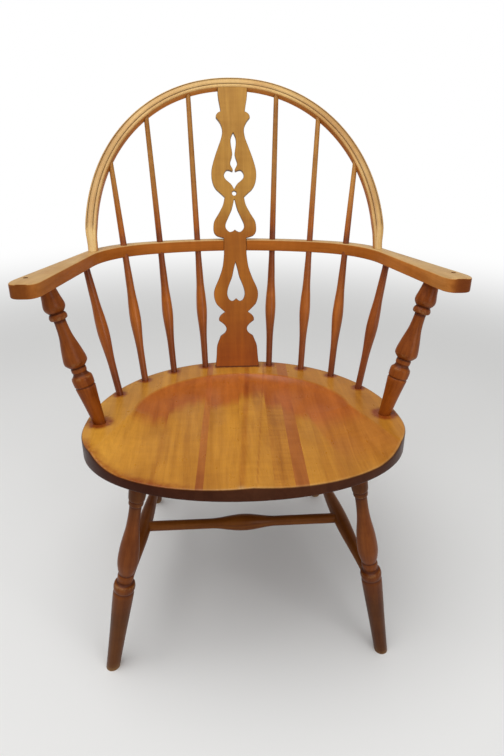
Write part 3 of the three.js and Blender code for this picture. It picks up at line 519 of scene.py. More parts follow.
def face_outwards(bm):
    """Turns all faces of a closed shell to its outside."""
    bmesh.ops.recalc_face_normals(bm, faces=bm.faces)
    if bm.calc_volume(signed=True) < 0:
        bmesh.ops.reverse_faces(bm, faces=bm.faces)


def joined(*meshes):
    """One bmesh that holds the shells of several."""
    whole = bmesh.new()
    for part in meshes:
        kept = bpy.data.meshes.new("part")
        part.to_mesh(kept)
        part.free()
        whole.from_mesh(kept)
        bpy.data.meshes.remove(kept)
    return whole


def carved(work, tool, operation="DIFFERENCE"):
    """A bmesh cut by another, joined to it, or kept where both are."""
    objects = []
    for bm in (work, tool):
        mesh = bpy.data.meshes.new("carving")
        bm.to_mesh(mesh)
        bm.free()
        objects.append(placed("carving", mesh))
    modifier = objects[0].modifiers.new("carve", "BOOLEAN")
    modifier.operation = operation
    modifier.solver = "EXACT"
    modifier.object = objects[1]
    result = as_shown(objects[0])
    for made in objects:
        mesh = made.data
        bpy.data.objects.remove(made)
        bpy.data.meshes.remove(mesh)
    if not result.faces:
        raise RuntimeError(f"nothing is left after the carving ({operation})")
    return result


def sawn(bm, place, facing):
    """Saws off what lies beyond a plane and closes the cut."""
    everything = bm.verts[:] + bm.edges[:] + bm.faces[:]
    cut = bmesh.ops.bisect_plane(bm, geom=everything, dist=1e-7, plane_co=place,
                                 plane_no=facing, clear_outer=True)
    rim = [g for g in cut["geom_cut"] if isinstance(g, bmesh.types.BMEdge)]
    if rim:
        bmesh.ops.triangle_fill(bm, edges=rim, use_beauty=True)
    return bm


def turned(foot, top, profile, sides=None):
    """A solid turned about the line from foot to top; the profile holds (distance, radius)."""
    bm = bmesh.new()
    chain = [bm.verts.new((0, 0, profile[0][0]))]
    chain += [bm.verts.new((radius, 0, along)) for along, radius in profile]
    chain.append(bm.verts.new((0, 0, profile[-1][0])))
    edges = [bm.edges.new(pair) for pair in zip(chain, chain[1:])]
    bmesh.ops.spin(bm, geom=chain + edges, cent=(0, 0, 0), axis=(0, 0, 1),
                   angle=2 * math.pi, steps=sides or sizes().turned_sides, use_merge=True)
    bmesh.ops.remove_doubles(bm, verts=bm.verts, dist=TOUCHING)
    bm.transform(along_line(foot, top))
    face_outwards(bm)
    return bm


def along_line(foot, top):
    """The place of a piece whose own z runs along a line."""
    turn = Vector((0, 0, 1)).rotation_difference(top - foot).to_matrix().to_4x4()
    return Matrix.Translation(foot) @ turn


def peg(start, end, diameter, low, high, sides=32):
    """A round bar on the line from start to end, between two distances along it."""
    return turned(start, end, [(low, diameter / 2), (high, diameter / 2)], sides)


def bore(start, end, diameter, low, high):
    """A cutting shape for such a peg, with the fit round it and under its end."""
    fit = sizes().fit
    return peg(start, end, diameter + 2 * fit, low - fit, high)


def box(low, high):
    bm = bmesh.new()
    bmesh.ops.create_cube(bm, size=1)
    span = Vector(high) - Vector(low)
    bmesh.ops.scale(bm, vec=span, verts=bm.verts)
    bmesh.ops.translate(bm, vec=(Vector(high) + Vector(low)) / 2, verts=bm.verts)
    return bm


def loft(rings):
    """A closed skin through rings of points."""
    bm = bmesh.new()
    number = bm.verts.layers.int.new("number")
    made = bmesh.ops.create_circle(bm, segments=len(rings[0]), radius=1)
    for i, vert in enumerate(made["verts"]):
        vert[number] = i
        vert.co = rings[0][i]
    edges = bm.edges[:]
    bmesh.ops.edgeloop_fill(bm, edges=edges)
    for ring in rings[1:]:
        verts, edges = drawn_out(bm, edges)
        for vert in verts:
            vert.co = ring[vert[number]]
    bmesh.ops.edgeloop_fill(bm, edges=edges)
    bm.verts.layers.int.remove(number)
    face_outwards(bm)
    return bm


def lean_matrix(origin_y, origin_z, lean):
    """A leaning plane: its x stays x, its y runs up the plane, its z points to the front."""
    up = Vector((0, math.sin(lean), math.cos(lean)))
    front = Vector((0, -math.cos(lean), math.sin(lean)))
    place = Matrix((Vector((1, 0, 0)), up, front)).transposed().to_4x4()
    return Matrix.Translation((0, origin_y, origin_z)) @ place


def bench_matrix():
    """Tilts the drawing and stands it on its feet."""
    seat = sizes().seat
    turn = Matrix.Rotation(-seat.tilt, 4, "X")
    return Matrix.Translation((0, seat.set_back, seat.height * math.cos(seat.tilt))) @ turn


# Places that more than one piece uses

def floor_z(y):
    """Where the floor lies under the seat's plane."""
    seat = sizes().seat
    return math.tan(seat.tilt) * y - seat.height


def seat_rear_y(part):
    """The rear edge of the seat at a share of its half width."""
    seat = sizes().seat
    return seat.widest_y + seat.rear_reach * (1 - part ** seat.power) ** (1 / seat.power)


def rail_side_x(y):
    """The inner and the outer side of an arm, along its straight part."""
    rail = sizes().rail
    inner = sizes().seat.half_width + rail.overhang
    return (inner - y * math.tan(rail.inner_splay),
            inner + rail.arm_width - y * math.tan(rail.outer_splay))


def rail_middle_x(y):
    return sum(rail_side_x(y)) / 2


def bow_foot_x():
    return rail_middle_x(sizes().bow.foot_y)


def bow_half_width():
    return bow_foot_x() + sizes().bow.spread


def splat_place():
    """The lean of the splat and the length of its drawn edge, from the seat to the bow."""
    splat = sizes().splat
    top = bow_place(0, bow_underside(0), splat.top_proud)
    back = top.y - splat.foot_y
    return math.atan2(back, top.z), math.hypot(back, top.z) - splat.run_on


def splat_matrix():
    return lean_matrix(sizes().splat.foot_y, 0, splat_place()[0])


def long_spindles():
    """Foot x, foot y and top x of each, from the splat outwards."""
    return [(foot * sizes().seat.half_width, seat_rear_y(foot) - sizes().spindle.inset,
             top * bow_half_width()) for foot, top in LONG_SPINDLE_SHARES]


def bow_matrix():
    """The leaning plane of the bow, from the top of the rail at its feet."""
    bow = sizes().bow
    return lean_matrix(bow.foot_y, sizes().rail.height, bow.lean)


def bow_place(x, up, out=0):
    """A place in the plane of the bow, or in front of it."""
    return bow_matrix() @ Vector((x, up, out))


def bow_underside(x):
    """Height of the inner edge of the bow above the rail, along the bow."""
    bow = sizes().bow
    half_width = bow_half_width() - bow.width / 2
    rise = bow.rise - bow.width / 2
    return bow.straight + rise * (1 - (x / half_width) ** bow.power) ** (1 / bow.power)


def spindle_line(spindle, side):
    x, y, top_x = spindle
    top = bow_place(side * top_x, bow_underside(top_x), -sizes().spindle.bow_setback)
    return Vector((side * x, y, 0)), top


def short_spindle_line(side):
    s = sizes().spindle
    rail = sizes().rail
    foot_y = seat_rear_y(s.short_share) - s.short_inset
    return (Vector((side * s.short_share * sizes().seat.half_width, foot_y, 0)),
            Vector((side * rail_middle_x(s.short_top_y), s.short_top_y,
                    rail.height - rail.thickness)))


def post_line(side):
    post = sizes().post
    rail = sizes().rail
    return (Vector((side * post.x, post.y, 0)),
            Vector((side * rail_middle_x(post.top_y), post.top_y, rail.height - rail.thickness)))


def leg_line(end, side):
    leg = sizes().leg
    under = -sizes().seat.thickness
    if end == "front":
        foot = Vector((side * leg.front_foot_x, leg.front_foot_y, floor_z(leg.front_foot_y)))
        return foot, Vector((side * leg.front_x, leg.front_y, under))
    foot = Vector((side * leg.rear_foot_x, leg.rear_foot_y, floor_z(leg.rear_foot_y)))
    return foot, Vector((side * leg.rear_x, leg.rear_y, under))


def hand_hole(side):
    """The middle of the small hole on top of a hand."""
    rail = sizes().rail
    x = rail_middle_x(rail.hole_y) + rail.hole_offset
    return Vector((side * x, rail.hole_y, rail.height))


def side_stretcher_line(side):
    s = sizes().stretcher
    front_foot, front_top = leg_line("front", side)
    rear_foot, rear_top = leg_line("rear", side)
    return front_foot.lerp(front_top, s.front_share), rear_foot.lerp(rear_top, s.rear_share)


def centre_stretcher_line():
    s = sizes().stretcher
    ends = [side_stretcher_line(side) for side in (-1, 1)]
    return tuple(front.lerp(rear, s.centre_share) for front, rear in ends)


# Finishing a piece

def seen_from(points, place):
    """Points measured in the axes of a place on the chair."""
    turn = np.array(place.inverted())
    return points @ turn[:3, :3].T + turn[:3, 3]


def line_grain(foot, top, shift):
    """Grain along a line: along it and twice across it, moved by a shift of the piece's own."""
    place = along_line(foot, top)
    return lambda points: (seen_from(points, place) + shift)[:, [2, 0, 1]]


def path_grain(path, shift):
    """Grain that follows a bent path of points in the plane of the bend."""
    path = np.array([tuple(p) for p in path])
    steps = np.diff(path, axis=0)
    lengths = np.linalg.norm(steps, axis=1)
    starts = np.concatenate(([0], np.cumsum(lengths)[:-1]))
    dirs = steps / lengths[:, None]

    def grain(points):
        best = np.full(len(points), 1e9)
        along = np.zeros(len(points))
        across = np.zeros(len(points))
        for p, d, size, start in zip(path, dirs, lengths, starts):
            off = points[:, :2] - p
            t = np.clip(off @ d, 0, size)
            gap = off - t[:, None] * d
            dist = np.linalg.norm(gap, axis=1)
            near = dist < best
            best[near] = dist[near]
            along[near] = (start + t)[near]
            across[near] = (dist * np.sign(d[0] * off[:, 1] - d[1] * off[:, 0]))[near]
        return np.stack((along, across, points[:, 2]), axis=1) + shift

    return grain


# The grooves, below zero, are darkened in the finish as painted shade; the beads, above zero, show
# wear
def relief_of(profile, foot, top):
    """From -1 in the grooves of a turning to 1 on its beads: its radius against that nearby."""
    alongs = np.array([p[0] for p in profile])
    radii = np.array([p[1] for p in profile])
    start = np.array(foot)
    axis = np.array((top - foot).normalized())
    reach = 0.0045
    nearby = np.linspace(-reach, reach, 7)
    full_depth = 0.0009

    def relief(points):
        s = (points - start) @ axis
        around = np.mean([np.interp(s + d, alongs, radii) for d in nearby], axis=0)
        return np.clip((np.interp(s, alongs, radii) - around) / full_depth, -1, 1)

    return relief


def finished(node, bm, slot, grain, relief, sharp=35, masks=None):
    """Stands a piece in the chair with its finish, in place of its plain solid."""
    bmesh.ops.dissolve_degenerate(bm, edges=bm.edges, dist=TOUCHING)
    for face in bm.faces:
        face.smooth = True
    name = f"{node}_wood"
    mesh = bpy.data.meshes.new(name)
    bm.to_mesh(mesh)
    bm.free()
    points = np.zeros(len(mesh.vertices) * 3)
    mesh.vertices.foreach_get("co", points)
    points = points.reshape(-1, 3)
    layer = mesh.attributes.new("grain", "FLOAT_VECTOR", "POINT")
    layer.data.foreach_set("vector", grain(points).ravel().astype(np.float32))
    for key, mask in {"relief": relief, **(masks or {})}.items():
        layer = mesh.attributes.new(key, "FLOAT", "POINT")
        layer.data.foreach_set("value", mask(points).astype(np.float32))
    mesh.transform(bench_matrix())
    mesh.set_sharp_from_angle(angle=math.radians(sharp))
    mesh.materials.append(finish(slot))
    made = placed(name, mesh)
    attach(made, "root")
    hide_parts(node)


# Finishes

class Nodes:
    """Adds and links the nodes of a material or of the world."""

    def __init__(self, owner):
        owner.use_nodes = True
        self.tree = owner.node_tree
        self.tree.nodes.clear()

    def add(self, kind, inputs=None, **settings):
        """A node with its settings and its inputs, which are values or other nodes' outputs."""
        node = self.tree.nodes.new(kind)
        for key, value in settings.items():
            setattr(node, key, value)
        for key, value in (inputs or {}).items():
            if isinstance(value, bpy.types.NodeSocket):
                self.tree.links.new(value, node.inputs[key])
            else:
                node.inputs[key].default_value = value
        return node

    def mix(self, factor, first, second, blend="MIX"):
        """Two colours mixed; a plain one is given its alpha. Sockets 6, 7 and 2 are for colours."""
        first, second = [c if isinstance(c, bpy.types.NodeSocket) else (*c, 1)
                         for c in (first, second)]
        return self.add("ShaderNodeMix", {0: factor, 6: first, 7: second}, data_type="RGBA",
                        blend_type=blend).outputs[2]

    def tinted(self, colour_here, *tints):
        """A colour multiplied by others."""
        for tint in tints:
            colour_here = self.mix(1.0, colour_here, tint, "MULTIPLY")
        return colour_here

    def math(self, operation, first, second):
        return self.add("ShaderNodeMath", {0: first, 1: second}, operation=operation).outputs[0]

    def times(self, first, second):
        return self.math("MULTIPLY", first, second)

    def ranged(self, value, low, high, to_low=0.0, to_high=1.0):
        """A value brought from one range to another and kept inside it."""
        return self.add("ShaderNodeMapRange", {0: value, 1: low, 2: high, 3: to_low,
                                               4: to_high}).outputs[0]

    def noise(self, place, name):
        per_metre, detail, rough = NOISES[name]
        stretched = self.add("ShaderNodeMapping", {"Vector": place, "Scale": per_metre}).outputs[0]
        return self.add("ShaderNodeTexNoise", {"Vector": stretched, "Scale": 1.0, "Detail": detail,
                                               "Roughness": rough}).outputs[0]

    def waver(self, place, name, strength):
        """A noise to both sides of zero."""
        return self.times(self.math("SUBTRACT", self.noise(place, name), 0.5), strength)

    def mask(self, name):
        """One of the values that a piece carries at its points."""
        return self.add("ShaderNodeAttribute", attribute_name=name).outputs["Fac"]


def by_height(n, stops):
    """A colour that changes with the height above the floor; stops hold (height, colour)."""
    height = n.add("ShaderNodeTexCoord").outputs["Object"]
    height = n.add("ShaderNodeSeparateXYZ", {0: height}).outputs[2]
    colour_here = stops[0][1]
    for (low, _), (high, above) in zip(stops, stops[1:]):
        colour_here = n.mix(n.ranged(height, low, high), colour_here, above)
    return colour_here


def seat_finish(n, tinted, grain, lines_at, tint, tone, uneven):
    """What only the seat has: curl, the red of the dish, streaks, painted shade on its side and
    stains.
    """
    colours = sizes().wood
    ripple = n.mix(n.ranged(n.noise(lines_at, "ripple"), 0.4, 0.6), RIPPLE_DARK, RIPPLE_LIGHT)
    tinted = n.mix(n.mask("curl"), tinted, n.tinted(tinted, ripple))
    blush = n.ranged(n.math("ADD", n.mask("blush"), n.waver(grain, "fingers", 3.0)), -0.8, 0.8)
    blush = n.times(blush, n.mask("dish"))
    tinted = n.mix(n.times(blush, 0.88), tinted, n.tinted(tuple(colours.blush), tint))
    streak = n.times(n.mask("streak"), n.ranged(uneven, 0.35, 1.0, 0.6, 1.0))
    tinted = n.mix(streak, tinted, n.tinted(tinted, STREAK_DARK))
    # Painted shade: the side and the underside take the dark side colour
    tinted = n.mix(n.mask("side"), tinted, n.tinted(tuple(colours.side), tint, tone))
    smudge = n.mask("smudge")
    patchy = n.times(n.waver(grain, "patches", smudge), 2.2)
    smudge = n.ranged(n.math("ADD", smudge, patchy), 0.05, 0.95)
    return n.mix(n.times(smudge, 0.92), tinted, tuple(colours.smudge))


def wood(name, base, rough=0.34, sheen=0.2, depth=1.0, seat=False, dull=None):
    """Lacquered maple: soft growth lines, broad streaks, blotches, curl, stain, wear, painted shade
    and painted sheen.

    The base is a colour, or stops of (height, colour). The depth is how strong the figure is.
    The sheen is low where an attribute has its last value: dull holds (attribute, first, last).
    """
    colours = sizes().wood
    material = bpy.data.materials.new(name)
    n = Nodes(material)
    grain = n.add("ShaderNodeAttribute", attribute_name="grain").outputs["Vector"]
    # The growth lines wander: a slow noise pushes them sideways
    bend = n.waver(grain, "wander", 0.05)
    push = n.add("ShaderNodeCombineXYZ", {1: bend, 2: bend}).outputs[0]
    lines_at = n.add("ShaderNodeVectorMath", {0: grain, 1: push}, operation="ADD").outputs[0]
    fibres = n.noise(grain, "fibres")
    marks = {"growth_lines": n.noise(lines_at, "growth_lines"),
             "broad_streaks": n.noise(lines_at, "broad_streaks"),
             "blotches": n.noise(grain, "blotches"), "fibres": fibres,
             "curl": n.noise(grain, "curl")}
    figure = 0.0
    for key, weight in FIGURE_SHARES.items():
        figure = n.math("ADD", figure, n.times(marks[key], weight))
    darkest, lightest = [tuple(1 + depth * v for v in part)
                         for part in (FIGURE_DARK, FIGURE_LIGHT)]
    tint = n.mix(n.ranged(figure, 0.4, 0.6), darkest, lightest)
    tone = n.mix(n.ranged(n.mask("tone"), -1.0, 1.0), TONE_DARK, TONE_LIGHT)
    tinted = n.tinted(by_height(n, base) if isinstance(base[0], tuple) else base, tint, tone)
    pores = n.ranged(n.noise(grain, "pores"), 0.64, 0.74)
    tinted = n.mix(n.times(pores, 0.25), tinted, tuple(colours.pore))
    uneven = n.ranged(n.noise(grain, "unevenness"), 0.36, 0.62, 0.35, 1.0)
    if seat:
        tinted = seat_finish(n, tinted, grain, lines_at, tint, tone, uneven)
    # The pale colour is painted sheen on the rail's top and the bow's front, a painted highlight on
    # the seat's front edge, and real wear at the seat's front and the feet
    pale = n.times(n.mask("pale"), n.ranged(uneven, 0.35, 1.0, 0.8, 1.0))
    tinted = n.mix(pale, tinted, n.tinted(tuple(colours.pale), tint, tone))
    relief = n.mask("relief")
    # Where the relief is below zero the stain colour is mixed in: painted shade in the grooves and the
    # small holes, and real stain on the end grain
    tinted = n.mix(n.times(n.ranged(relief, 0.0, -0.8), 0.72), tinted, tuple(colours.stain_and_shade))
    rubbed = n.times(n.ranged(n.noise(grain, "rubbing"), 0.45, 0.62), 0.2)
    tinted = n.mix(n.times(n.ranged(relief, 0.3, 1.0), rubbed), tinted, tuple(colours.pale))
    gloss = n.ranged(n.noise(grain, "gloss"), 0.25, 0.75, rough - 0.05, rough + 0.09)
    height = n.math("ADD", n.times(fibres, 0.5), n.times(pores, -0.6))
    bump = n.add("ShaderNodeBump", {"Height": height, "Strength": 0.1,
                                    "Distance": 0.0005}).outputs[0]
    coat_share = 0.6
    dull_share = 0.25
    level = sheen
    coat = coat_share * sheen
    if dull:
        level = n.ranged(n.mask(dull[0]), dull[1], dull[2], sheen, dull_share * sheen)
        coat = n.times(level, coat_share)
    shader = n.add("ShaderNodeBsdfPrincipled", {
        "Base Color": tinted, "Roughness": gloss, "Normal": bump, "Coat Weight": coat,
        "Coat Roughness": 0.12, "Specular IOR Level": level})
    # The plain sheen is what stays where a varying one is dropped
    shader.inputs["Specular IOR Level"].default_value = sheen
    n.add("ShaderNodeOutputMaterial", {0: shader.outputs[0]})
    return material


def finish(slot):
    """The material of a slot, made once."""
    name = WOOD_NAMES[slot]
    found = bpy.data.materials.get(name)
    if found:
        return found
    colours = sizes().wood
    if slot in ("seat_golden", "seat_red"):
        base = tuple(colours.golden if slot == "seat_golden" else colours.red)
        return wood(name, base, rough=0.3, seat=True, dull=("side", 0.0, 1.0))
    if slot == "bent_wood":
        return wood(name, tuple(colours.bent), sheen=0.14, dull=("pale", 0.9, 0.2))
    stops = tuple((height, tuple(getattr(colours, key))) for height, key in WOOD_HEIGHTS[slot])
    sheen, depth = {"turned_wood": (0.1, 1.7), "spindle_wood": (0.2, 1.6)}.get(slot, (0.2, 1.0))
    return wood(name, stops, sheen=sheen, depth=depth)


# Seat

def saddle_reach(angle):
    """How far the dish reaches from its centre along a ray; a quarter turn is the back."""
    d = sizes().saddle
    c = abs(math.cos(angle))
    s = math.sin(angle)
    if s >= 0:
        total = (c / d.half_width) ** d.power + (s / d.rear_reach) ** d.power
        return total ** (-1 / d.power)
    closing = c + d.flare * s
    return min(d.half_width / closing if closing > 1e-9 else d.front_reach, d.front_reach)


def saddle_z(angle, part):
    """Height of the dish along a ray, at a part of the way from its centre to its edge."""
    d = sizes().saddle
    across = abs(math.cos(angle))
    behind = math.sin(angle) > 0
    middle = d.depth if behind else d.pommel_depth
    depth_here = middle + (d.side_depth - middle) * (1 - (1 - across) ** d.spread)
    power = d.soft + (d.crisp - d.soft) * (1 - across) if behind else d.soft
    settled = d.depth + (depth_here - d.depth) * part
    return -settled * (1 - part ** power)


def seat_reach(angle, inset):
    """Distance from the centre of the dish to the edge of the seat along a ray."""
    seat = sizes().seat
    centre_y = sizes().saddle.centre_y
    low = 0.0
    high = seat.half_width + seat.rear_reach
    for _ in range(40):
        middle = (low + high) / 2
        x = abs(middle * math.cos(angle)) / (seat.half_width - inset)
        y = centre_y + middle * math.sin(angle) - seat.widest_y
        y /= (seat.rear_reach if y >= 0 else -seat.front_reach) - math.copysign(inset, y)
        if x ** seat.power + abs(y) ** seat.power < 1:
            low = middle
        else:
            high = middle
    return low


def disc_place(a, b):
    """A point of a square as ring and angle on a disc."""
    ring = max(abs(a), abs(b))
    if ring < 1e-9:
        return 0.0, 0.0
    if abs(a) >= abs(b):
        return ring, math.pi / 4 * b / a + (0 if a > 0 else math.pi)
    return ring, math.pi / 2 - math.pi / 4 * a / b + (0 if b > 0 else math.pi)


def seat_blank():
    """The whole seat: a grid drawn out to the outline and dished, then its rim and underside."""
    seat = sizes().seat
    centre_y = sizes().saddle.centre_y
    bm = bmesh.new()
    number = bm.verts.layers.int.new("number")
    bmesh.ops.create_grid(bm, x_segments=2 * seat.rings, y_segments=2 * seat.rings, size=1)
    # The rings up to the knee fill the dish, or most of the way to the edge if the dish is larger
    knee_share = 0.8
    dish_share = 0.86
    rim = []
    for vert in bm.verts:
        ring, angle = disc_place(vert.co.x, vert.co.y)
        edge = seat_reach(angle, seat.edge_round)
        dish = saddle_reach(angle)
        bend = min(dish, dish_share * edge)
        if ring <= knee_share:
            reach = ring / knee_share * bend
        else:
            reach = bend + (ring - knee_share) / (1 - knee_share) * (edge - bend)
        part = reach / dish
        z = saddle_z(angle, part) if part < 1 else 0
        vert.co = (reach * math.cos(angle), centre_y + reach * math.sin(angle), z)
        if ring > 1 - 1e-6:
            vert[number] = len(rim)
            rim.append((angle, z))
    # Inset and height of each ring below: round the top edge, down the side, round the lower edge
    r = seat.edge_round
    low = r - seat.thickness
    turns = [math.radians(degrees) for degrees in EASED_TURNS]
    rings = [(r * (1 - math.sin(t)), lambda z, t=t: z - r * (1 - math.cos(t))) for t in turns]
    rings += [(0, lambda z, k=k: (z - r) * (1 - k) + low * k) for k in (0.33, 0.67, 1)]
    rings += [(r * (1 - math.cos(t)), lambda z, t=t: low - r * math.sin(t)) for t in turns]
    edges = [e for e in bm.edges if e.is_boundary]
    for inset, z_of in rings:
        verts, edges = drawn_out(bm, edges)
        for vert in verts:
            angle, z = rim[vert[number]]
            reach = seat_reach(angle, inset)
            vert.co = (reach * math.cos(angle), centre_y + reach * math.sin(angle), z_of(z))
    bmesh.ops.edgeloop_fill(bm, edges=edges)
    bm.verts.layers.int.remove(number)
    face_outwards(bm)
    return bm


def splat_slab(half_width, low, high, back, front):
    """A box that leans with the splat: its heights run up it, its depths from its front face."""
    bm = box((-half_width, low, back), (half_width, high, front))
    bm.transform(splat_matrix())
    return bm


def seat_sockets():
    """What is bored into the seat, and the housing of the splat."""
    c = sizes()
    s = c.spindle
    cuts = []
    for _, side in SIDES:
        lines = [spindle_line(spindle, side) for spindle in long_spindles()]
        lines.append(short_spindle_line(side))
        cuts += [bore(*line, s.foot_diameter, -s.seat_depth, c.overrun) for line in lines]
        foot_diameter = POST_TURNING_SHARES[0][0][1] * c.post.diameter
        cuts.append(bore(*post_line(side), foot_diameter, -c.post.seat_depth, c.overrun))
        for end in ("front", "rear"):
            foot, top = leg_line(end, side)
            cuts.append(bore(top, foot, c.leg.tenon_diameter, -c.leg.tenon_depth, c.overrun))
    cuts.append(splat_slab(c.splat.half_width + c.fit, -c.splat.seat_depth - c.fit, c.overrun,
                           -c.splat.thickness - c.fit, c.fit))
    return joined(*cuts)


def fading(distance, width, power=2):
    """1 at no distance, fading out over a width."""
    return np.exp(-(distance / width) ** power)


def smoothstep(x, low, high):
    """Rises softly from 0 at low to 1 at high."""
    t = np.clip((x - low) / (high - low), 0, 1)
    return t * t * (3 - 2 * t)


def dish_part(points):
    """Distance from the centre of the dish, as a part of its reach, and the angle."""
    x = points[:, 0]
    y = points[:, 1] - sizes().saddle.centre_y
    angles = np.arctan2(y, x)
    table = np.linspace(-math.pi, math.pi, 361)
    reach = np.interp(angles, table, [saddle_reach(a) for a in table])
    return np.hypot(x, y) / reach, angles


def board_share(points):
    """Where points lie across the glued boards, from 0 at the left to 1 at the right."""
    seat = sizes().seat
    across = points[:, 0] * math.cos(seat.board_slant) - points[:, 1] * math.sin(seat.board_slant)
    return (across / seat.half_width + 1) / 2


def seat_blush(points, number):
    """How far behind the limit of the redder finish a point lies, in widths of its border."""
    border = 0.025
    before = sum(BOARD_SHARES[:number - 1])
    left, right = BLUSH_LIMITS[number - 1]
    limit = left + (right - left) * (board_share(points) - before) / BOARD_SHARES[number - 1]
    return np.clip((points[:, 1] - limit) / border, -2, 2)


def seat_dish(points):
    """1 inside the edge of the dish, 0 on the rim, and less towards the front."""
    border_share = 0.015
    inside = 1 - smoothstep(dish_part(points)[0], 1 - border_share, 1 + border_share)
    on_top = points[:, 2] > -0.03
    ahead = -points[:, 1]
    middle_fade = 0.6 * smoothstep(ahead, 0, 0.06)
    front_fade = 0.4 * smoothstep(ahead, 0.1, 0.19)
    return inside * on_top * (1 - middle_fade - front_fade)


def seat_tone(points, number):
    """How light a board is: lighter at the left end of the seat, darker on the left side of it
    as painted shade, and, on one board, at the front."""
    side = seat_side(points)
    left_end = smoothstep(-points[:, 0], 0.16, 0.25) * (1 - side)
    left_side = smoothstep(-points[:, 0], -0.02, 0.18) * side
    tone = BOARD_TONES[number - 1] + 0.5 * left_end - 1.2 * left_side
    if number == DARK_FRONT_BOARD:
        tone -= 0.7 * smoothstep(-points[:, 1], 0.16, 0.19) * (1 - side)
    return tone


def seat_wear_and_highlight(points):
    """Paler along the front edge, a painted highlight on its arris, and most of all at a worn spot
    near its middle, painted with a highlight too.
    """
    inset = edge_inset(points)
    front = (points[:, 1] < -0.1) * (1 - seat_side(points))
    painted_edge_highlight = 0.5 * fading(inset, 0.0028) * smoothstep(points[:, 0], -0.14, -0.03)
    spot_x = -0.018
    worn_highlight_spot = 0.8 * fading(points[:, 0] - spot_x, 0.006) * fading(inset, 0.007)
    return np.maximum(painted_edge_highlight, worn_highlight_spot) * front


def knot_distance(points, knot, stretch):
    """Distance from a knot in sizes of it; a stretched knot is longer along the grain."""
    x, y, size = knot
    return np.hypot((points[:, 1] - y) / stretch, points[:, 0] - x) / size


def seat_streak(points):
    """Dark streaks that run a little askew to the boards, and dark rings in the knots."""
    seat = sizes().seat
    whole = seat.front_reach + seat.rear_reach
    behind = (points[:, 1] - seat.widest_y + seat.front_reach) / whole
    here = board_share(points)
    dark = np.zeros(len(points))
    for front, rear, half_width, strength in STREAK_SHARES:
        away = (here - front - (rear - front) * behind) * 2 * seat.half_width
        dark = np.maximum(dark, strength * fading(away, half_width, 4))
    ring_share = 0.6
    for knot in KNOTS:
        from_ring = knot_distance(points, knot, 4) - ring_share
        dark = np.maximum(dark, 0.3 * fading(from_ring, 0.4))
    return dark


def edge_inset(points):
    """Distance of points to the edge of the seat, along the ray from its middle."""
    seat = sizes().seat
    y = points[:, 1] - seat.widest_y
    reach = np.where(y > 0, seat.rear_reach, seat.front_reach)
    across = np.abs(points[:, 0]) / seat.half_width
    level = (across ** seat.power + np.abs(y / reach) ** seat.power) ** (1 / seat.power)
    return np.hypot(points[:, 0], y) * (1 / np.maximum(level, 1e-6) - 1)


def seat_side(points):
    """1 on the side and the underside of the seat."""
    side = 1 - smoothstep(edge_inset(points), 0.0004, 0.0016)
    return np.maximum(side, smoothstep(-points[:, 2], 0.032, 0.034))


def seat_smudge(points):
    """Stains round the feet of the spindles, the posts and the splat, along the rear edge and at
    the left front corner."""
    c = sizes()
    spindle_radius = c.spindle.foot_diameter / 2
    post_radius = 0.012
    feet = []
    for _, side in SIDES:
        feet += [(Vector((side * x, y)), spindle_radius) for x, y, _ in long_spindles()]
        feet.append((short_spindle_line(side)[0], spindle_radius))
        feet.append((Vector((side * c.post.x, c.post.y)), post_radius))
    stains = []
    for foot, radius in feet:
        away = np.hypot(points[:, 0] - foot.x, points[:, 1] - foot.y) - radius
        stains.append(fading(np.clip(away, 0, None), 0.7 * radius + 0.0035, 3))
    x = np.clip(np.abs(points[:, 0]) - c.splat.half_width, 0, None)
    y = np.abs(points[:, 1] - c.splat.foot_y - c.splat.thickness / 2) - c.splat.thickness / 2
    stains.append(0.8 * fading(np.hypot(x, np.clip(y, 0, None)), 0.004, 1))
    inset = edge_inset(points)
    behind = points[:, 1] > 0.05
    stains.append(0.5 * fading(inset, 0.004, 1) * behind)
    corner = smoothstep(-points[:, 0], 0.05, 0.13) * smoothstep(-points[:, 1], 0.06, 0.12)
    stains.append(0.7 * fading(inset, 0.014) * corner)
    return np.max(stains, axis=0) * (1 - seat_side(points))


def seat_grain(points, shift):
    """Grain along the boards that parts round the knots."""
    grain = points[:, [1, 0, 2]] + shift
    push_share = 0.8
    for knot in KNOTS:
        x, _, size = knot
        push = push_share * size * fading(knot_distance(points, knot, 3), 1)
        grain[:, 1] -= np.sign(points[:, 0] - x) * push
    return grain


def seat_relief(points):
    """Worn on the arris of the dish, at its sides and behind."""
    part, angles = dish_part(points)
    return 0.4 * fading(part - 1, 0.012) * smoothstep(np.sin(angles), -0.1, 0.5)


class CHAIR_OT_seat(bpy.types.Operator):
    """Make the dished seat of nine glued boards"""
    bl_idname = "chair.seat"
    bl_label = "Seat"

    def execute(self, context):
        seat = sizes().seat
        rest = carved(seat_blank(), seat_sockets())
        across = Vector((math.cos(seat.board_slant), -math.sin(seat.board_slant), 0))
        edge = -seat.half_width
        for i, width_share in enumerate(BOARD_SHARES):
            number = i + 1
            edge += 2 * seat.half_width * width_share
            board = rest
            if number < len(BOARD_SHARES):
                rest = board.copy()
                board = sawn(board, across * edge, across)
                rest = sawn(rest, across * edge, -across)
            slot = "seat_red" if number in RED_BOARDS else "seat_golden"
            shift = np.array((0.31 * i, 0.17 * i, 0.023 * (i % 4)))
            finished(f"seat_board_{number}", board, slot, lambda p: seat_grain(p, shift),
                     seat_relief, 40,
                     {"blush": lambda p: seat_blush(p, number), "dish": seat_dish,
                      "smudge": seat_smudge, "side": seat_side, "streak": seat_streak,
                      "pale": seat_wear_and_highlight, "tone": lambda p: seat_tone(p, number),
                      "curl": lambda p: np.full(len(p), BOARD_CURLS[i])})
        return {"FINISHED"}


# Splat

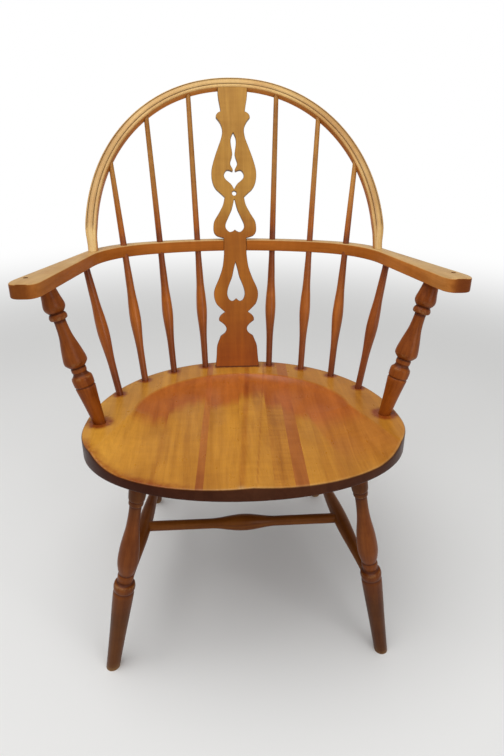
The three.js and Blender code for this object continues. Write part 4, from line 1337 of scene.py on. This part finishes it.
def splat_height(part):
    """Height on the splat; the seat, the rail and the bow keep their places on its edge."""
    rail = sizes().rail
    at_rail = sizes().splat.rail_share
    lean, whole = splat_place()
    rail_reach = (rail.height - rail.thickness / 2) / math.cos(lean)
    if part < at_rail:
        return rail_reach * part / at_rail
    return rail_reach + (whole - rail_reach) * (part - at_rail) / (1 - at_rail)


def splat_points(stretches):
    """One side of an edge of the splat, in its own plane."""
    half_width = sizes().splat.half_width
    return [Vector((p.y * half_width, splat_height(p.x))) for p in run_through(stretches)]


def splat_body():
    """The outline and its piercings as a flat curve with eased edges, made a mesh and leant."""
    splat = sizes().splat
    edge = splat_points(SPLAT_EDGE_SHARES)
    top = edge[-1]
    right = [Vector((splat.half_width, -splat.seat_depth)), *edge,
             Vector((top.x, top.y + sizes().overrun))]
    loops = [right + mirrored(right)]
    for stretches in SPLAT_PIERCING_SHARES:
        half = splat_points(stretches)
        loops.append(half + mirrored(half[1:-1]))
    eye = Vector((0, splat_height(splat.eye_share)))
    loops.append(arc(eye, splat.eye_radius, 0, 2 * math.pi, 32)[:-1])
    curve = bpy.data.curves.new("splat_outline", "CURVE")
    curve.dimensions = "2D"
    curve.fill_mode = "BOTH"
    curve.extrude = splat.thickness / 2 - splat.edge_round
    curve.bevel_depth = splat.edge_round
    curve.bevel_resolution = 1
    curve.offset = -splat.edge_round
    for loop in loops:
        spline = curve.splines.new("POLY")
        spline.points.add(len(loop) - 1)
        spline.points.foreach_set("co", [v for p in loop for v in (p.x, p.y, 0, 1)])
        spline.use_cyclic_u = True
    outline = placed("splat_outline", curve)
    bm = as_shown(outline)
    bpy.data.objects.remove(outline)
    bpy.data.curves.remove(curve)
    bmesh.ops.remove_doubles(bm, verts=bm.verts, dist=TOUCHING)
    bmesh.ops.translate(bm, vec=(0, 0, -splat.thickness / 2), verts=bm.verts)
    bm.transform(splat_matrix())
    face_outwards(bm)
    return bm


def inside_bow(clearance):
    """The room inside the bow, as far as its underside."""
    bow = sizes().bow
    half_width = bow_half_width() - bow.width / 2 - clearance
    rise = bow.rise - bow.width / 2 - clearance
    low = -sizes().seat.height
    deep = 0.6
    steps = 96
    outline = [Vector((half_width, low))]
    for k in range(steps + 1):
        p = superellipse(math.pi * k / steps, half_width, rise, bow.power)
        outline.append(Vector((p.x, bow.straight + p.y)))
    outline.append(Vector((-half_width, low)))
    bm = bmesh.new()
    face = bm.faces.new([bm.verts.new((p.x, p.y, -deep)) for p in outline])
    grown = bmesh.ops.extrude_face_region(bm, geom=[face])["geom"]
    verts = [g for g in grown if isinstance(g, bmesh.types.BMVert)]
    bmesh.ops.translate(bm, vec=(0, 0, 2 * deep), verts=verts)
    bm.transform(bow_matrix())
    face_outwards(bm)
    return bm


def splat_tenon(clearance):
    """The tenon of the splat in the bow, or with a clearance the room for it."""
    splat = sizes().splat
    back = -splat.tenon_setback - splat.tenon_thickness - clearance
    top = splat_place()[1]
    return splat_slab(splat.tenon_half_width + clearance, top - sizes().overrun,
                      top + splat.tenon_depth + clearance, back, -splat.tenon_setback + clearance)


def splat_relief(points):
    """Dark on the sawn edges between the two faces."""
    through = seen_from(points, splat_matrix())[:, 2] / sizes().splat.thickness
    return -0.9 * smoothstep(-through, 0, 0.035) * smoothstep(1 + through, 0, 0.035)


class CHAIR_OT_splat(bpy.types.Operator):
    """Make the pierced splat"""
    bl_idname = "chair.splat"
    bl_label = "Splat"

    def execute(self, context):
        body = carved(splat_body(), inside_bow(sizes().fit), "INTERSECT")
        body = carved(body, splat_tenon(0), "UNION")
        foot = splat_matrix() @ Vector((0, 0, 0))
        top = splat_matrix() @ Vector((0, 1, 0))
        finished("splat", body, "splat_wood",
                 line_grain(foot, top, np.array((0.013, 0.02, 1.7))), splat_relief, 20)
        return {"FINISHED"}


# Arm rail

def rail_edge(back_radius, corner_radius, half_width, splay):
    """Wide arc behind, tangent corner arc and splayed straight side."""
    rail = sizes().rail
    inner_back_y = (sizes().splat.foot_y
                    + math.tan(splat_place()[0]) * (rail.height - rail.thickness / 2))
    centre_y = inner_back_y - rail.inner_back_radius
    side = half_width * math.cos(splay) - centre_y * math.sin(splay) - corner_radius
    sweep = math.asin(side / (back_radius - corner_radius)) - splay
    straight_back = math.pi / 2
    corner = straight_back - sweep
    centre = Vector((0, centre_y))
    corner_centre = arc(centre, back_radius - corner_radius, corner, corner, 1)[0]
    return (arc(centre, back_radius, straight_back, corner, 32)
            + arc(corner_centre, corner_radius, corner, splay, 24)[1:])


def hand_edge(side, rounding, inward):
    """The straight side up to the rounded corner of the hand, and the corner."""
    rail = sizes().rail
    start_y = rail.front_y + rounding
    start = Vector((rail_side_x(start_y)[side], start_y))
    corner = Vector((rail_side_x(rail.front_y)[side], rail.front_y))
    end = corner + Vector((inward * rounding * rail.hand_round_share, 0))
    parts = [k / rail.hand_steps for k in range(rail.hand_steps + 1)]
    return [start * (1 - t) ** 2 + corner * 2 * t * (1 - t) + end * t * t for t in parts]


def rail_stations():
    """Matching points on the inner and the outer edge of the right half, from the back."""
    rail = sizes().rail
    half_widths = rail_side_x(0)
    inner = rail_edge(rail.inner_back_radius, rail.inner_corner_radius, half_widths[0],
                      rail.inner_splay)
    outer = rail_edge(rail.inner_back_radius + rail.back_depth, rail.outer_corner_radius,
                      half_widths[1], rail.outer_splay)
    inner_hand = hand_edge(0, rail.hand_inner_round, 1)
    outer_hand = hand_edge(1, rail.hand_outer_round, -1)
    steps = 24
    straight = [(inner[-1].lerp(inner_hand[0], k / steps), outer[-1].lerp(outer_hand[0], k / steps))
                for k in range(1, steps)]
    return [*zip(inner, outer), *straight, *zip(inner_hand, outer_hand)]


def rail_ring(inner, outer, inset=0.0):
    """One section of the rail: flat faces and eased corners."""
    rail = sizes().rail
    across = (outer - inner).normalized()
    inner = inner + across * inset
    outer = outer - across * inset
    least_round = 0.0004
    r = max(rail.edge_round - inset, least_round)
    top = rail.height - inset
    under = rail.height - rail.thickness + inset
    ring = []
    corners = ((outer, -1, top, -1, 0), (inner, 1, top, -1, 90), (inner, 1, under, 1, 180),
               (outer, -1, under, 1, 270))
    for edge, to_middle, z, down, start in corners:
        middle = edge + across * to_middle * r
        for degrees in (0, *EASED_TURNS):
            angle = math.radians(start + degrees)
            p = middle + across * r * math.cos(angle)
            ring.append(Vector((p.x, p.y, z + down * r + r * math.sin(angle))))
    return ring


def rail_body():
    """A skin through the sections of the right half and their mirror images."""
    rail = sizes().rail
    pairs = rail_stations()
    rings = [rail_ring(inner, outer) for inner, outer in pairs]
    inner, outer = pairs[-1]
    turns = (30, 60, 90)
    forward_share = 0.6
    for degrees in turns:
        turn = math.radians(degrees)
        drop = Vector((0, -rail.edge_round * forward_share * math.sin(turn)))
        rings.append(rail_ring(inner + drop, outer + drop, rail.edge_round * (1 - math.cos(turn))))
    # No section of the hand reaches past its front
    for ring in rings[-(rail.hand_steps + 1 + len(turns)):]:
        for p in ring:
            p.y = max(p.y, rail.front_y)
    half = [[Vector((-p.x, p.y, p.z)) for p in ring] for ring in reversed(rings[1:])]
    return loft(half + rings)


class CHAIR_OT_arm_rail(bpy.types.Operator):
    """Make the bent arm rail with its notch, sockets and hand holes"""
    bl_idname = "chair.arm_rail"
    bl_label = "Arm rail"

    def execute(self, context):
        c = sizes()
        rail = c.rail
        under = rail.height - rail.thickness
        stem = c.splat.half_width * c.splat.stem_share
        cuts = [splat_slab(stem + c.fit, under - c.overrun, rail.height + c.overrun,
                           -c.splat.thickness - c.fit, c.overrun)]
        # A small hole widens at its rim by twice the fit
        radius = rail.hole_diameter / 2
        hole_profile = [(-c.overrun, radius + 2 * c.fit), (-c.fit, radius + 2 * c.fit),
                        (c.fit, radius), (rail.hole_depth, radius)]
        holes = []
        for _, side in SIDES:
            for spindle in long_spindles():
                cuts.append(bore(*spindle_line(spindle, side), c.spindle.rail_diameter,
                                 under - c.overrun, rail.height + 2 * c.overrun))
            foot, top = short_spindle_line(side)
            cuts.append(bore(top, foot, c.spindle.rail_diameter, -c.spindle.blind_depth,
                             c.overrun))
            foot, top = post_line(side)
            cuts.append(bore(top, foot, c.post.tenon_diameter, -c.post.tenon_depth, c.overrun))
            cuts.append(bore(*bow_tenon_line(side), c.bow.tenon_diameter, -c.bow.tenon_length,
                             c.overrun))
            hole = hand_hole(side)
            holes.append(turned(hole, hole - Vector((0, 0, 1)), hole_profile, 32))
        body = carved(rail_body(), joined(*cuts))
        for hole in holes:
            body = carved(body, hole)
        middle = [inner.lerp(outer, 0.5) for inner, outer in rail_stations()]
        finished("arm_rail", body, "bent_wood",
                 path_grain(mirrored(middle[1:]) + middle, np.array((0.4, 0.08, -0.2))),
                 rail_relief, masks={"pale": rail_painted_sheen, "tone": rail_tone})
        return {"FINISHED"}


def rail_top(points):
    """1 on the top of the rail, 0 below its eased edge."""
    under_top = sizes().rail.height - points[:, 2]
    return 1 - smoothstep(under_top, 0.0005, 0.0014)


def in_hand_hole(points):
    """Whether points are on the wall or the bottom of a small hole."""
    rail = sizes().rail
    hole = hand_hole(1)
    away = np.hypot(np.abs(points[:, 0]) - hole.x, points[:, 1] - hole.y)
    below_top = rail.height - points[:, 2] > FLUSH
    return (away < 0.55 * rail.hole_diameter) & below_top


def rail_relief(points):
    """Worn on the eased edges, painted shade in the small holes, and dark on the front of the hands.
    """
    rail = sizes().rail
    from_top = rail.height - points[:, 2]
    from_under = points[:, 2] - (rail.height - rail.thickness)
    arris = rail.edge_round / 2
    from_arris = np.minimum(from_top, from_under) - arris
    off_the_top = from_top > 4 * FLUSH
    worn = 0.5 * fading(from_arris, 0.001414) * off_the_top
    front = hand_front(points)
    return np.where(in_hand_hole(points), -1, worn * (1 - front) - 0.6 * front)


def hand_front(points):
    """1 on the end grain of the hands."""
    rail = sizes().rail
    from_front = points[:, 1] - rail.front_y
    outwards = np.abs(points[:, 0]) - rail_side_x(rail.front_y)[0]
    at_end = (1 - smoothstep(from_front, 0.004, 0.02)) * smoothstep(outwards, -0.004, 0.02)
    under_top = smoothstep(rail.height - points[:, 2], 0.0005, 0.0015)
    very_front = from_front < 3 * FLUSH
    return at_end * np.maximum(under_top, very_front)


def rail_painted_sheen(points):
    """Painted sheen: the top is pale, and a little of the sides in front, but not the small holes
    or the front of the hands."""
    side = 0.15 * (1 - smoothstep(points[:, 1], -0.08, 0.02))
    return (np.maximum(rail_top(points), side) * (1 - hand_front(points))
            * (rail_relief(points) > -0.5))


def rail_tone(points):
    """Under the top, the right arm is lighter, as painted light, and the front of its hand much
    darker.
    """
    arms = 1 - smoothstep(points[:, 1], 0.06, 0.2)
    left = points[:, 0] < 0
    dark = np.where(left, 0.1, 1.8) * hand_front(points)
    return (arms * np.where(left, -0.05, 0.9) - dark) * (1 - rail_top(points))


# Bow

def bow_tenon_line(side):
    """The line of a foot of the bow; its tenon runs back from the start of it."""
    bow = sizes().bow
    x = side * bow_foot_x()
    return bow_place(x, 0), bow_place(x, bow.straight)


def bow_ring(centre, outward):
    """One section: beaded above the facet, and drawn in to a round foot below it."""
    bow = sizes().bow
    beaded = float(smoothstep(np.array(centre.y), 0, bow.facet))
    foot = bow.foot_diameter / 2
    ring = []
    for across, through in BOW_SECTION_SHARES:
        angle = math.atan2(through, across)
        u = foot * math.cos(angle) * (1 - beaded) + across * bow.width / 2 * beaded
        w = foot * math.sin(angle) * (1 - beaded) + through * bow.thickness / 2 * beaded
        ring.append(bow_place(centre.x + u * outward.x, centre.y + u * outward.y, w))
    return ring


def bow_centres():
    """The middle line of the bow in its own plane, from below the right foot to the left one."""
    bow = sizes().bow
    foot_x = bow_foot_x()
    right = [Vector((foot_x, -sizes().overrun))]
    right += [Vector((foot_x + bow.spread * out, bow.straight * up)) for up, out in BOW_FOOT_SHARES]
    steps = 72
    for k in range(steps):
        p = superellipse(math.pi / 2 * k / steps, bow_half_width(), bow.rise, bow.power)
        right.append(Vector((p.x, bow.straight + p.y)))
    right.append(Vector((0, bow.straight + bow.rise)))
    return right + mirrored(right[:-1])


class CHAIR_OT_bow(bpy.types.Operator):
    """Make the bent bow with its bead moulding"""
    bl_idname = "chair.bow"
    bl_label = "Bow"

    def execute(self, context):
        c = sizes()
        centres = bow_centres()
        rings = []
        for i, centre in enumerate(centres):
            ahead = centres[min(i + 1, len(centres) - 1)]
            behind = centres[max(i - 1, 0)]
            along = (ahead - behind).normalized()
            rings.append(bow_ring(centre, Vector((along.y, -along.x))))
        body = sawn(loft(rings), (0, 0, c.rail.height + c.fit), (0, 0, -1))
        cuts = [splat_tenon(c.fit)]
        for _, side in SIDES:
            for spindle in long_spindles():
                foot, top = spindle_line(spindle, side)
                cuts.append(bore(top, foot, c.spindle.bow_diameter, -c.spindle.bow_depth,
                                 c.overrun))
        body = carved(body, joined(*cuts))
        tenons = [peg(*bow_tenon_line(side), c.bow.tenon_diameter, -c.bow.tenon_length,
                      c.overrun) for _, side in SIDES]
        body = carved(body, joined(*tenons), "UNION")
        follow = path_grain(centres, np.zeros(3))

        def place(points):
            """Points in the bow's plane, and along, across and through its bend."""
            points = seen_from(points, bow_matrix())
            return points, follow(points)

        finished("back_bow", body, "bent_wood",
                 lambda p: place(p)[1] + np.array((1.3, 0.05, 0.4)),
                 lambda p: bow_relief(*place(p)), 50,
                 {"pale": lambda p: bow_pale(*place(p)), "tone": lambda p: bow_tone(place(p)[0])})
        return {"FINISHED"}


def bow_front(place):
    """1 on the front face of the bow."""
    thickness = sizes().bow.thickness
    return smoothstep(place[:, 2], 0.3 * thickness, 0.42 * thickness)


def bow_relief(points, place):
    """Painted shade in the two grooves of the front face, which end above the foot."""
    bow = sizes().bow
    across = -place[:, 1] / (bow.width / 2)
    groove_share = 0.08
    grooves = [fading(across - middle, groove_share) for middle in BOW_GROOVE_SHARES]
    beaded = smoothstep(points[:, 1], 0.7 * bow.facet, 0.8 * bow.facet)
    return -np.maximum(*grooves) * bow_front(place) * beaded


def bow_pale(points, place):
    """The front face is pale as painted light, most of all down at the feet, and so are the feet all
    round.
    """
    foot = 1 - smoothstep(points[:, 1], 0.3 * sizes().bow.facet, sizes().bow.facet)
    return np.minimum(bow_front(place) * 0.8 + foot * 0.3, 1)


def bow_tone(points):
    """Lighter towards the top of the bow."""
    return 0.42 + 0.5 * smoothstep(points[:, 1], 0.25, 0.35)


# Spindles

def spindle_profile(size, at_rail, is_long):
    """Distances and radii: the foot, the swelling and the rail, and the bow if it is long."""
    c = sizes()
    s = c.spindle
    foot = s.foot_diameter / 2
    profile = [(-s.seat_depth, foot), (c.fit, foot), (s.foot_reach, foot)]
    profile += [(p.x * at_rail, p.y * s.diameter / 2) for p in smooth_run(SPINDLE_SWELL_SHARES, 5)]
    profile.append((s.rail_share * at_rail, s.rail_diameter / 2))
    if not is_long:
        return [*profile, (size + s.blind_depth, s.rail_diameter / 2)]
    return [*profile, (at_rail, s.rail_diameter / 2), (size, s.bow_diameter / 2),
            (size + s.bow_depth, s.bow_diameter / 2)]


def make_spindle(node, line, number, is_long):
    """Turns a spindle; it is dark where it stands in the seat, and a short one all over."""
    foot, top = line
    size = (top - foot).length
    profile = spindle_profile(size, size * sizes().rail.height / top.z, is_long)
    tone = 0.0 if is_long else -0.5
    shift = np.array((0.37 * number, 0.11 * number, 0.05 * number))
    finished(node, turned(foot, top, profile), "spindle_wood", line_grain(foot, top, shift),
             relief_of(profile, foot, top),
             masks={"tone": lambda p: tone - 0.9 * (1 - smoothstep(p[:, 2], 0.0005, 0.007))})


class CHAIR_OT_spindles(bpy.types.Operator):
    """Make the six long and two short spindles"""
    bl_idname = "chair.spindles"
    bl_label = "Spindles"

    def execute(self, context):
        for side_name, side in SIDES:
            for i, spindle in enumerate(long_spindles()):
                make_spindle(f"long_spindle_{side_name}_{i + 1}", spindle_line(spindle, side),
                             i * 2 + side, True)
            make_spindle(f"short_spindle_{side_name}", short_spindle_line(side), 9 + side, False)
        return {"FINISHED"}


# Posts, legs and stretchers

def turning(foot, top, stretches, diameter):
    """A table of shares as distances along a line and radii."""
    size = (top - foot).length
    return [(p.x * size, p.y * diameter / 2) for p in run_through(stretches)]


def post_tone(points):
    """The posts are darker where they stand in the seat."""
    return -0.8 * (1 - smoothstep(points[:, 2], 0, 0.009))


class CHAIR_OT_arm_posts(bpy.types.Operator):
    """Make the two turned posts under the arms"""
    bl_idname = "chair.arm_posts"
    bl_label = "Arm posts"

    def execute(self, context):
        c = sizes()
        post = c.post
        for side_name, side in SIDES:
            foot, top = post_line(side)
            size = (top - foot).length
            profile = turning(foot, top, POST_TURNING_SHARES, post.diameter)
            whole = [(-post.seat_depth, profile[0][1]), *profile,
                     (size + c.overrun, profile[-1][1])]
            under = c.rail.height - c.rail.thickness - c.fit
            body = sawn(turned(foot, top, whole), (0, 0, under), (0, 0, 1))
            tenon = peg(foot, top, post.tenon_diameter, size - c.overrun, size + post.tenon_depth)
            body = carved(body, tenon, "UNION")
            finished(f"arm_post_{side_name}", body, "turned_wood",
                     line_grain(foot, top, np.array((0.2 + side, 0.014, 0.3 * side))),
                     relief_of(whole, foot, top), masks={"tone": post_tone})
        return {"FINISHED"}


def leg_socket_start():
    """How far from the middle of a leg the tenon of a side stretcher ends."""
    c = sizes()
    return c.leg.diameter / 2 - c.stretcher.leg_depth


def centre_socket_start():
    """How far from the middle of a side stretcher the tenon of the centre stretcher ends."""
    s = sizes().stretcher
    return s.side_bulge / 2 - s.centre_depth


def foot_pale(points):
    """Scuffed paler at the floor."""
    tilt = sizes().seat.tilt
    above = (points[:, 2] - floor_z(0)) * math.cos(tilt) - points[:, 1] * math.sin(tilt)
    return 0.3 * fading(above, 0.007)


class CHAIR_OT_legs(bpy.types.Operator):
    """Make the four raked and turned legs"""
    bl_idname = "chair.legs"
    bl_label = "Legs"

    def execute(self, context):
        c = sizes()
        leg = c.leg
        for side_name, side in SIDES:
            for i, end in enumerate(("front", "rear")):
                foot, top = leg_line(end, side)
                size = (top - foot).length
                profile = turning(foot, top, LEG_TURNING_SHARES, leg.diameter)
                whole = [(-c.overrun, profile[0][1]), *profile,
                         (size + c.overrun, profile[-1][1])]
                body = turned(foot, top, whole)
                body = sawn(body, (0, 0, -c.seat.thickness - c.fit), (0, 0, 1))
                tenon = peg(foot, top, leg.tenon_diameter, size - c.overrun,
                            size + leg.tenon_depth)
                body = carved(body, tenon, "UNION")
                down = Vector((0, math.sin(c.seat.tilt), -math.cos(c.seat.tilt)))
                body = sawn(body, (0, 0, floor_z(0)), down)
                front, rear = side_stretcher_line(side)
                joint = (front, rear) if end == "front" else (rear, front)
                socket = bore(*joint, c.stretcher.side_end, leg_socket_start(), 2 * c.overrun)
                body = carved(body, socket)
                shift = np.array((0.5 * i + 0.23 * side, 0.02 * i, 0.4 + 0.1 * side))
                finished(f"{end}_leg_{side_name}", body, "turned_wood",
                         line_grain(foot, top, shift), relief_of(whole, foot, top),
                         masks={"pale": foot_pale})
        return {"FINISHED"}


def bulge(middle, half, end_diameter, diameter, start, end):
    """A stretcher's profile: straight ends and one smooth bulge."""
    small = end_diameter / 2
    steps = 48
    profile = [(start, small)]
    for k in range(steps + 1):
        turn = 2 * k / steps - 1
        swell = (1 + math.cos(math.pi * turn)) / 2
        profile.append((middle + half * turn, small + (diameter / 2 - small) * swell))
    profile.append((end, small))
    return profile


def stretcher_tone(points):
    """The stretchers are lighter than the legs beside them."""
    return np.full(len(points), 0.8)


class CHAIR_OT_stretchers(bpy.types.Operator):
    """Make the two side stretchers and the centre stretcher"""
    bl_idname = "chair.stretchers"
    bl_label = "Stretchers"

    def execute(self, context):
        c = sizes()
        s = c.stretcher
        centre = centre_stretcher_line()
        for side_name, side in SIDES:
            foot, top = side_stretcher_line(side)
            size = (top - foot).length
            profile = bulge(s.centre_share * size, s.side_half_length, s.side_end, s.side_bulge,
                            leg_socket_start(), size - leg_socket_start())
            joint = centre if side < 0 else centre[::-1]
            socket = bore(*joint, s.centre_end, centre_socket_start(), 2 * c.overrun)
            body = carved(turned(foot, top, profile), socket)
            finished(f"side_stretcher_{side_name}", body, "turned_wood",
                     line_grain(foot, top, np.array((0.9 * side, 0.03, 0.8))),
                     relief_of(profile, foot, top), masks={"tone": stretcher_tone})
        size = (centre[1] - centre[0]).length
        profile = bulge(size / 2, s.centre_half_length, s.centre_end, s.centre_bulge,
                        centre_socket_start(), size - centre_socket_start())
        finished("centre_stretcher", turned(*centre, profile), "turned_wood",
                 line_grain(*centre, np.array((2.1, 0.02, 0.6))), relief_of(profile, *centre),
                 masks={"tone": stretcher_tone})
        return {"FINISHED"}


# Studio

def floor_material():
    """Plain near the chair; far away it fades into white for the camera and in reflections."""
    studio = sizes().studio
    material = bpy.data.materials.new("studio_floor")
    n = Nodes(material)
    place = n.add("ShaderNodeTexCoord").outputs["Object"]
    far = n.add("ShaderNodeVectorMath", {0: place}, operation="LENGTH").outputs["Value"]
    fade = n.add("ShaderNodeMapRange", {0: far, 1: studio.fade_start, 2: studio.fade_end},
                 interpolation_type="SMOOTHERSTEP").outputs[0]
    seen = n.add("ShaderNodeLightPath").outputs
    seen = n.math("MAXIMUM", seen["Is Camera Ray"], seen["Is Glossy Ray"])
    plain = n.add("ShaderNodeBsdfPrincipled", {
        "Base Color": (*studio.floor, 1), "Roughness": 0.8, "Specular IOR Level": 0.1})
    white = n.add("ShaderNodeEmission", {"Color": (1, 1, 1, 1), "Strength": 1.0})
    mixed = n.add("ShaderNodeMixShader", {0: n.times(fade, seen), 1: plain.outputs[0],
                                          2: white.outputs[0]})
    n.add("ShaderNodeOutputMaterial", {0: mixed.outputs[0]})
    return material


def room_light():
    """White behind the chair, and an even light from all round."""
    world = bpy.data.worlds.new("room")
    bpy.context.scene.world = world
    n = Nodes(world)
    seen = n.add("ShaderNodeLightPath").outputs
    seen = n.math("MAXIMUM", seen["Is Camera Ray"], seen["Is Transmission Ray"])
    strength = n.ranged(seen, 0.0, 1.0, sizes().studio.ambient, 1.0)
    light = n.add("ShaderNodeBackground", {"Color": (1, 1, 1, 1), "Strength": strength})
    n.add("ShaderNodeOutputWorld", {0: light.outputs[0]})


def soft_lamp(name, place, target, width, power):
    """A square lamp that faces a point."""
    lamp = bpy.data.lights.new(name, "AREA")
    lamp.shape = "SQUARE"
    lamp.size = width
    lamp.energy = power
    made = placed(name, lamp)
    made.location = place
    made.rotation_euler = (Vector(target) - Vector(place)).to_track_quat("-Z", "Y").to_euler()


class CHAIR_OT_studio(bpy.types.Operator):
    """Make the floor, the lights and the camera"""
    bl_idname = "chair.studio"
    bl_label = "Studio"

    def execute(self, context):
        studio = sizes().studio
        bm = bmesh.new()
        bmesh.ops.create_circle(bm, cap_ends=True, segments=96, radius=studio.floor_radius)
        mesh = bpy.data.meshes.new("studio_floor")
        bm.to_mesh(mesh)
        bm.free()
        mesh.materials.append(floor_material())
        placed("studio_floor", mesh)
        room_light()
        soft_lamp("top_light", *TOP_LIGHT, studio.key)
        soft_lamp("front_light", *FRONT_LIGHT, studio.fill)
        lens = bpy.data.cameras.new("camera")
        lens.sensor_width = studio.sensor
        lens.lens = studio.lens
        camera = placed("camera", lens)
        camera.matrix_world = Matrix.LocRotScale(studio.camera_place, Euler(studio.camera_turn),
                                                 None)
        context.scene.camera = camera
        context.scene.view_settings.view_transform = "Standard"
        return {"FINISHED"}


class CHAIR_PT_panel(bpy.types.Panel):
    """Lists the pieces of the chair"""
    bl_idname = "CHAIR_PT_panel"
    bl_label = "Captains Chair"
    bl_space_type = "VIEW_3D"
    bl_region_type = "UI"
    bl_category = "Chair"

    def draw(self, context):
        for operator in OPERATORS:
            self.layout.operator(operator.bl_idname)


OPERATORS = (CHAIR_OT_seat, CHAIR_OT_splat, CHAIR_OT_arm_rail, CHAIR_OT_bow, CHAIR_OT_spindles,
             CHAIR_OT_arm_posts, CHAIR_OT_legs, CHAIR_OT_stretchers, CHAIR_OT_studio)
CLASSES = (SeatSizes, SaddleSizes, RailSizes, BowSizes, SplatSizes, SpindleSizes, PostSizes,
           LegSizes, StretcherSizes, WoodColours, StudioSettings, ChairSettings, *OPERATORS,
           CHAIR_PT_panel)


def register():
    for cls in CLASSES:
        bpy.utils.register_class(cls)
    bpy.types.Scene.captains_chair = PointerProperty(
        type=ChairSettings, name="Captains chair", description="Sizes and colours of the chair")


def unregister():
    del bpy.types.Scene.captains_chair
    for cls in reversed(CLASSES):
        bpy.utils.unregister_class(cls)


def main():
    register()
    bpy.ops.chair.seat()
    bpy.ops.chair.splat()
    bpy.ops.chair.arm_rail()
    bpy.ops.chair.bow()
    bpy.ops.chair.spindles()
    bpy.ops.chair.arm_posts()
    bpy.ops.chair.legs()
    bpy.ops.chair.stretchers()
    bpy.ops.chair.studio()


if __name__ == "__main__":
    main()
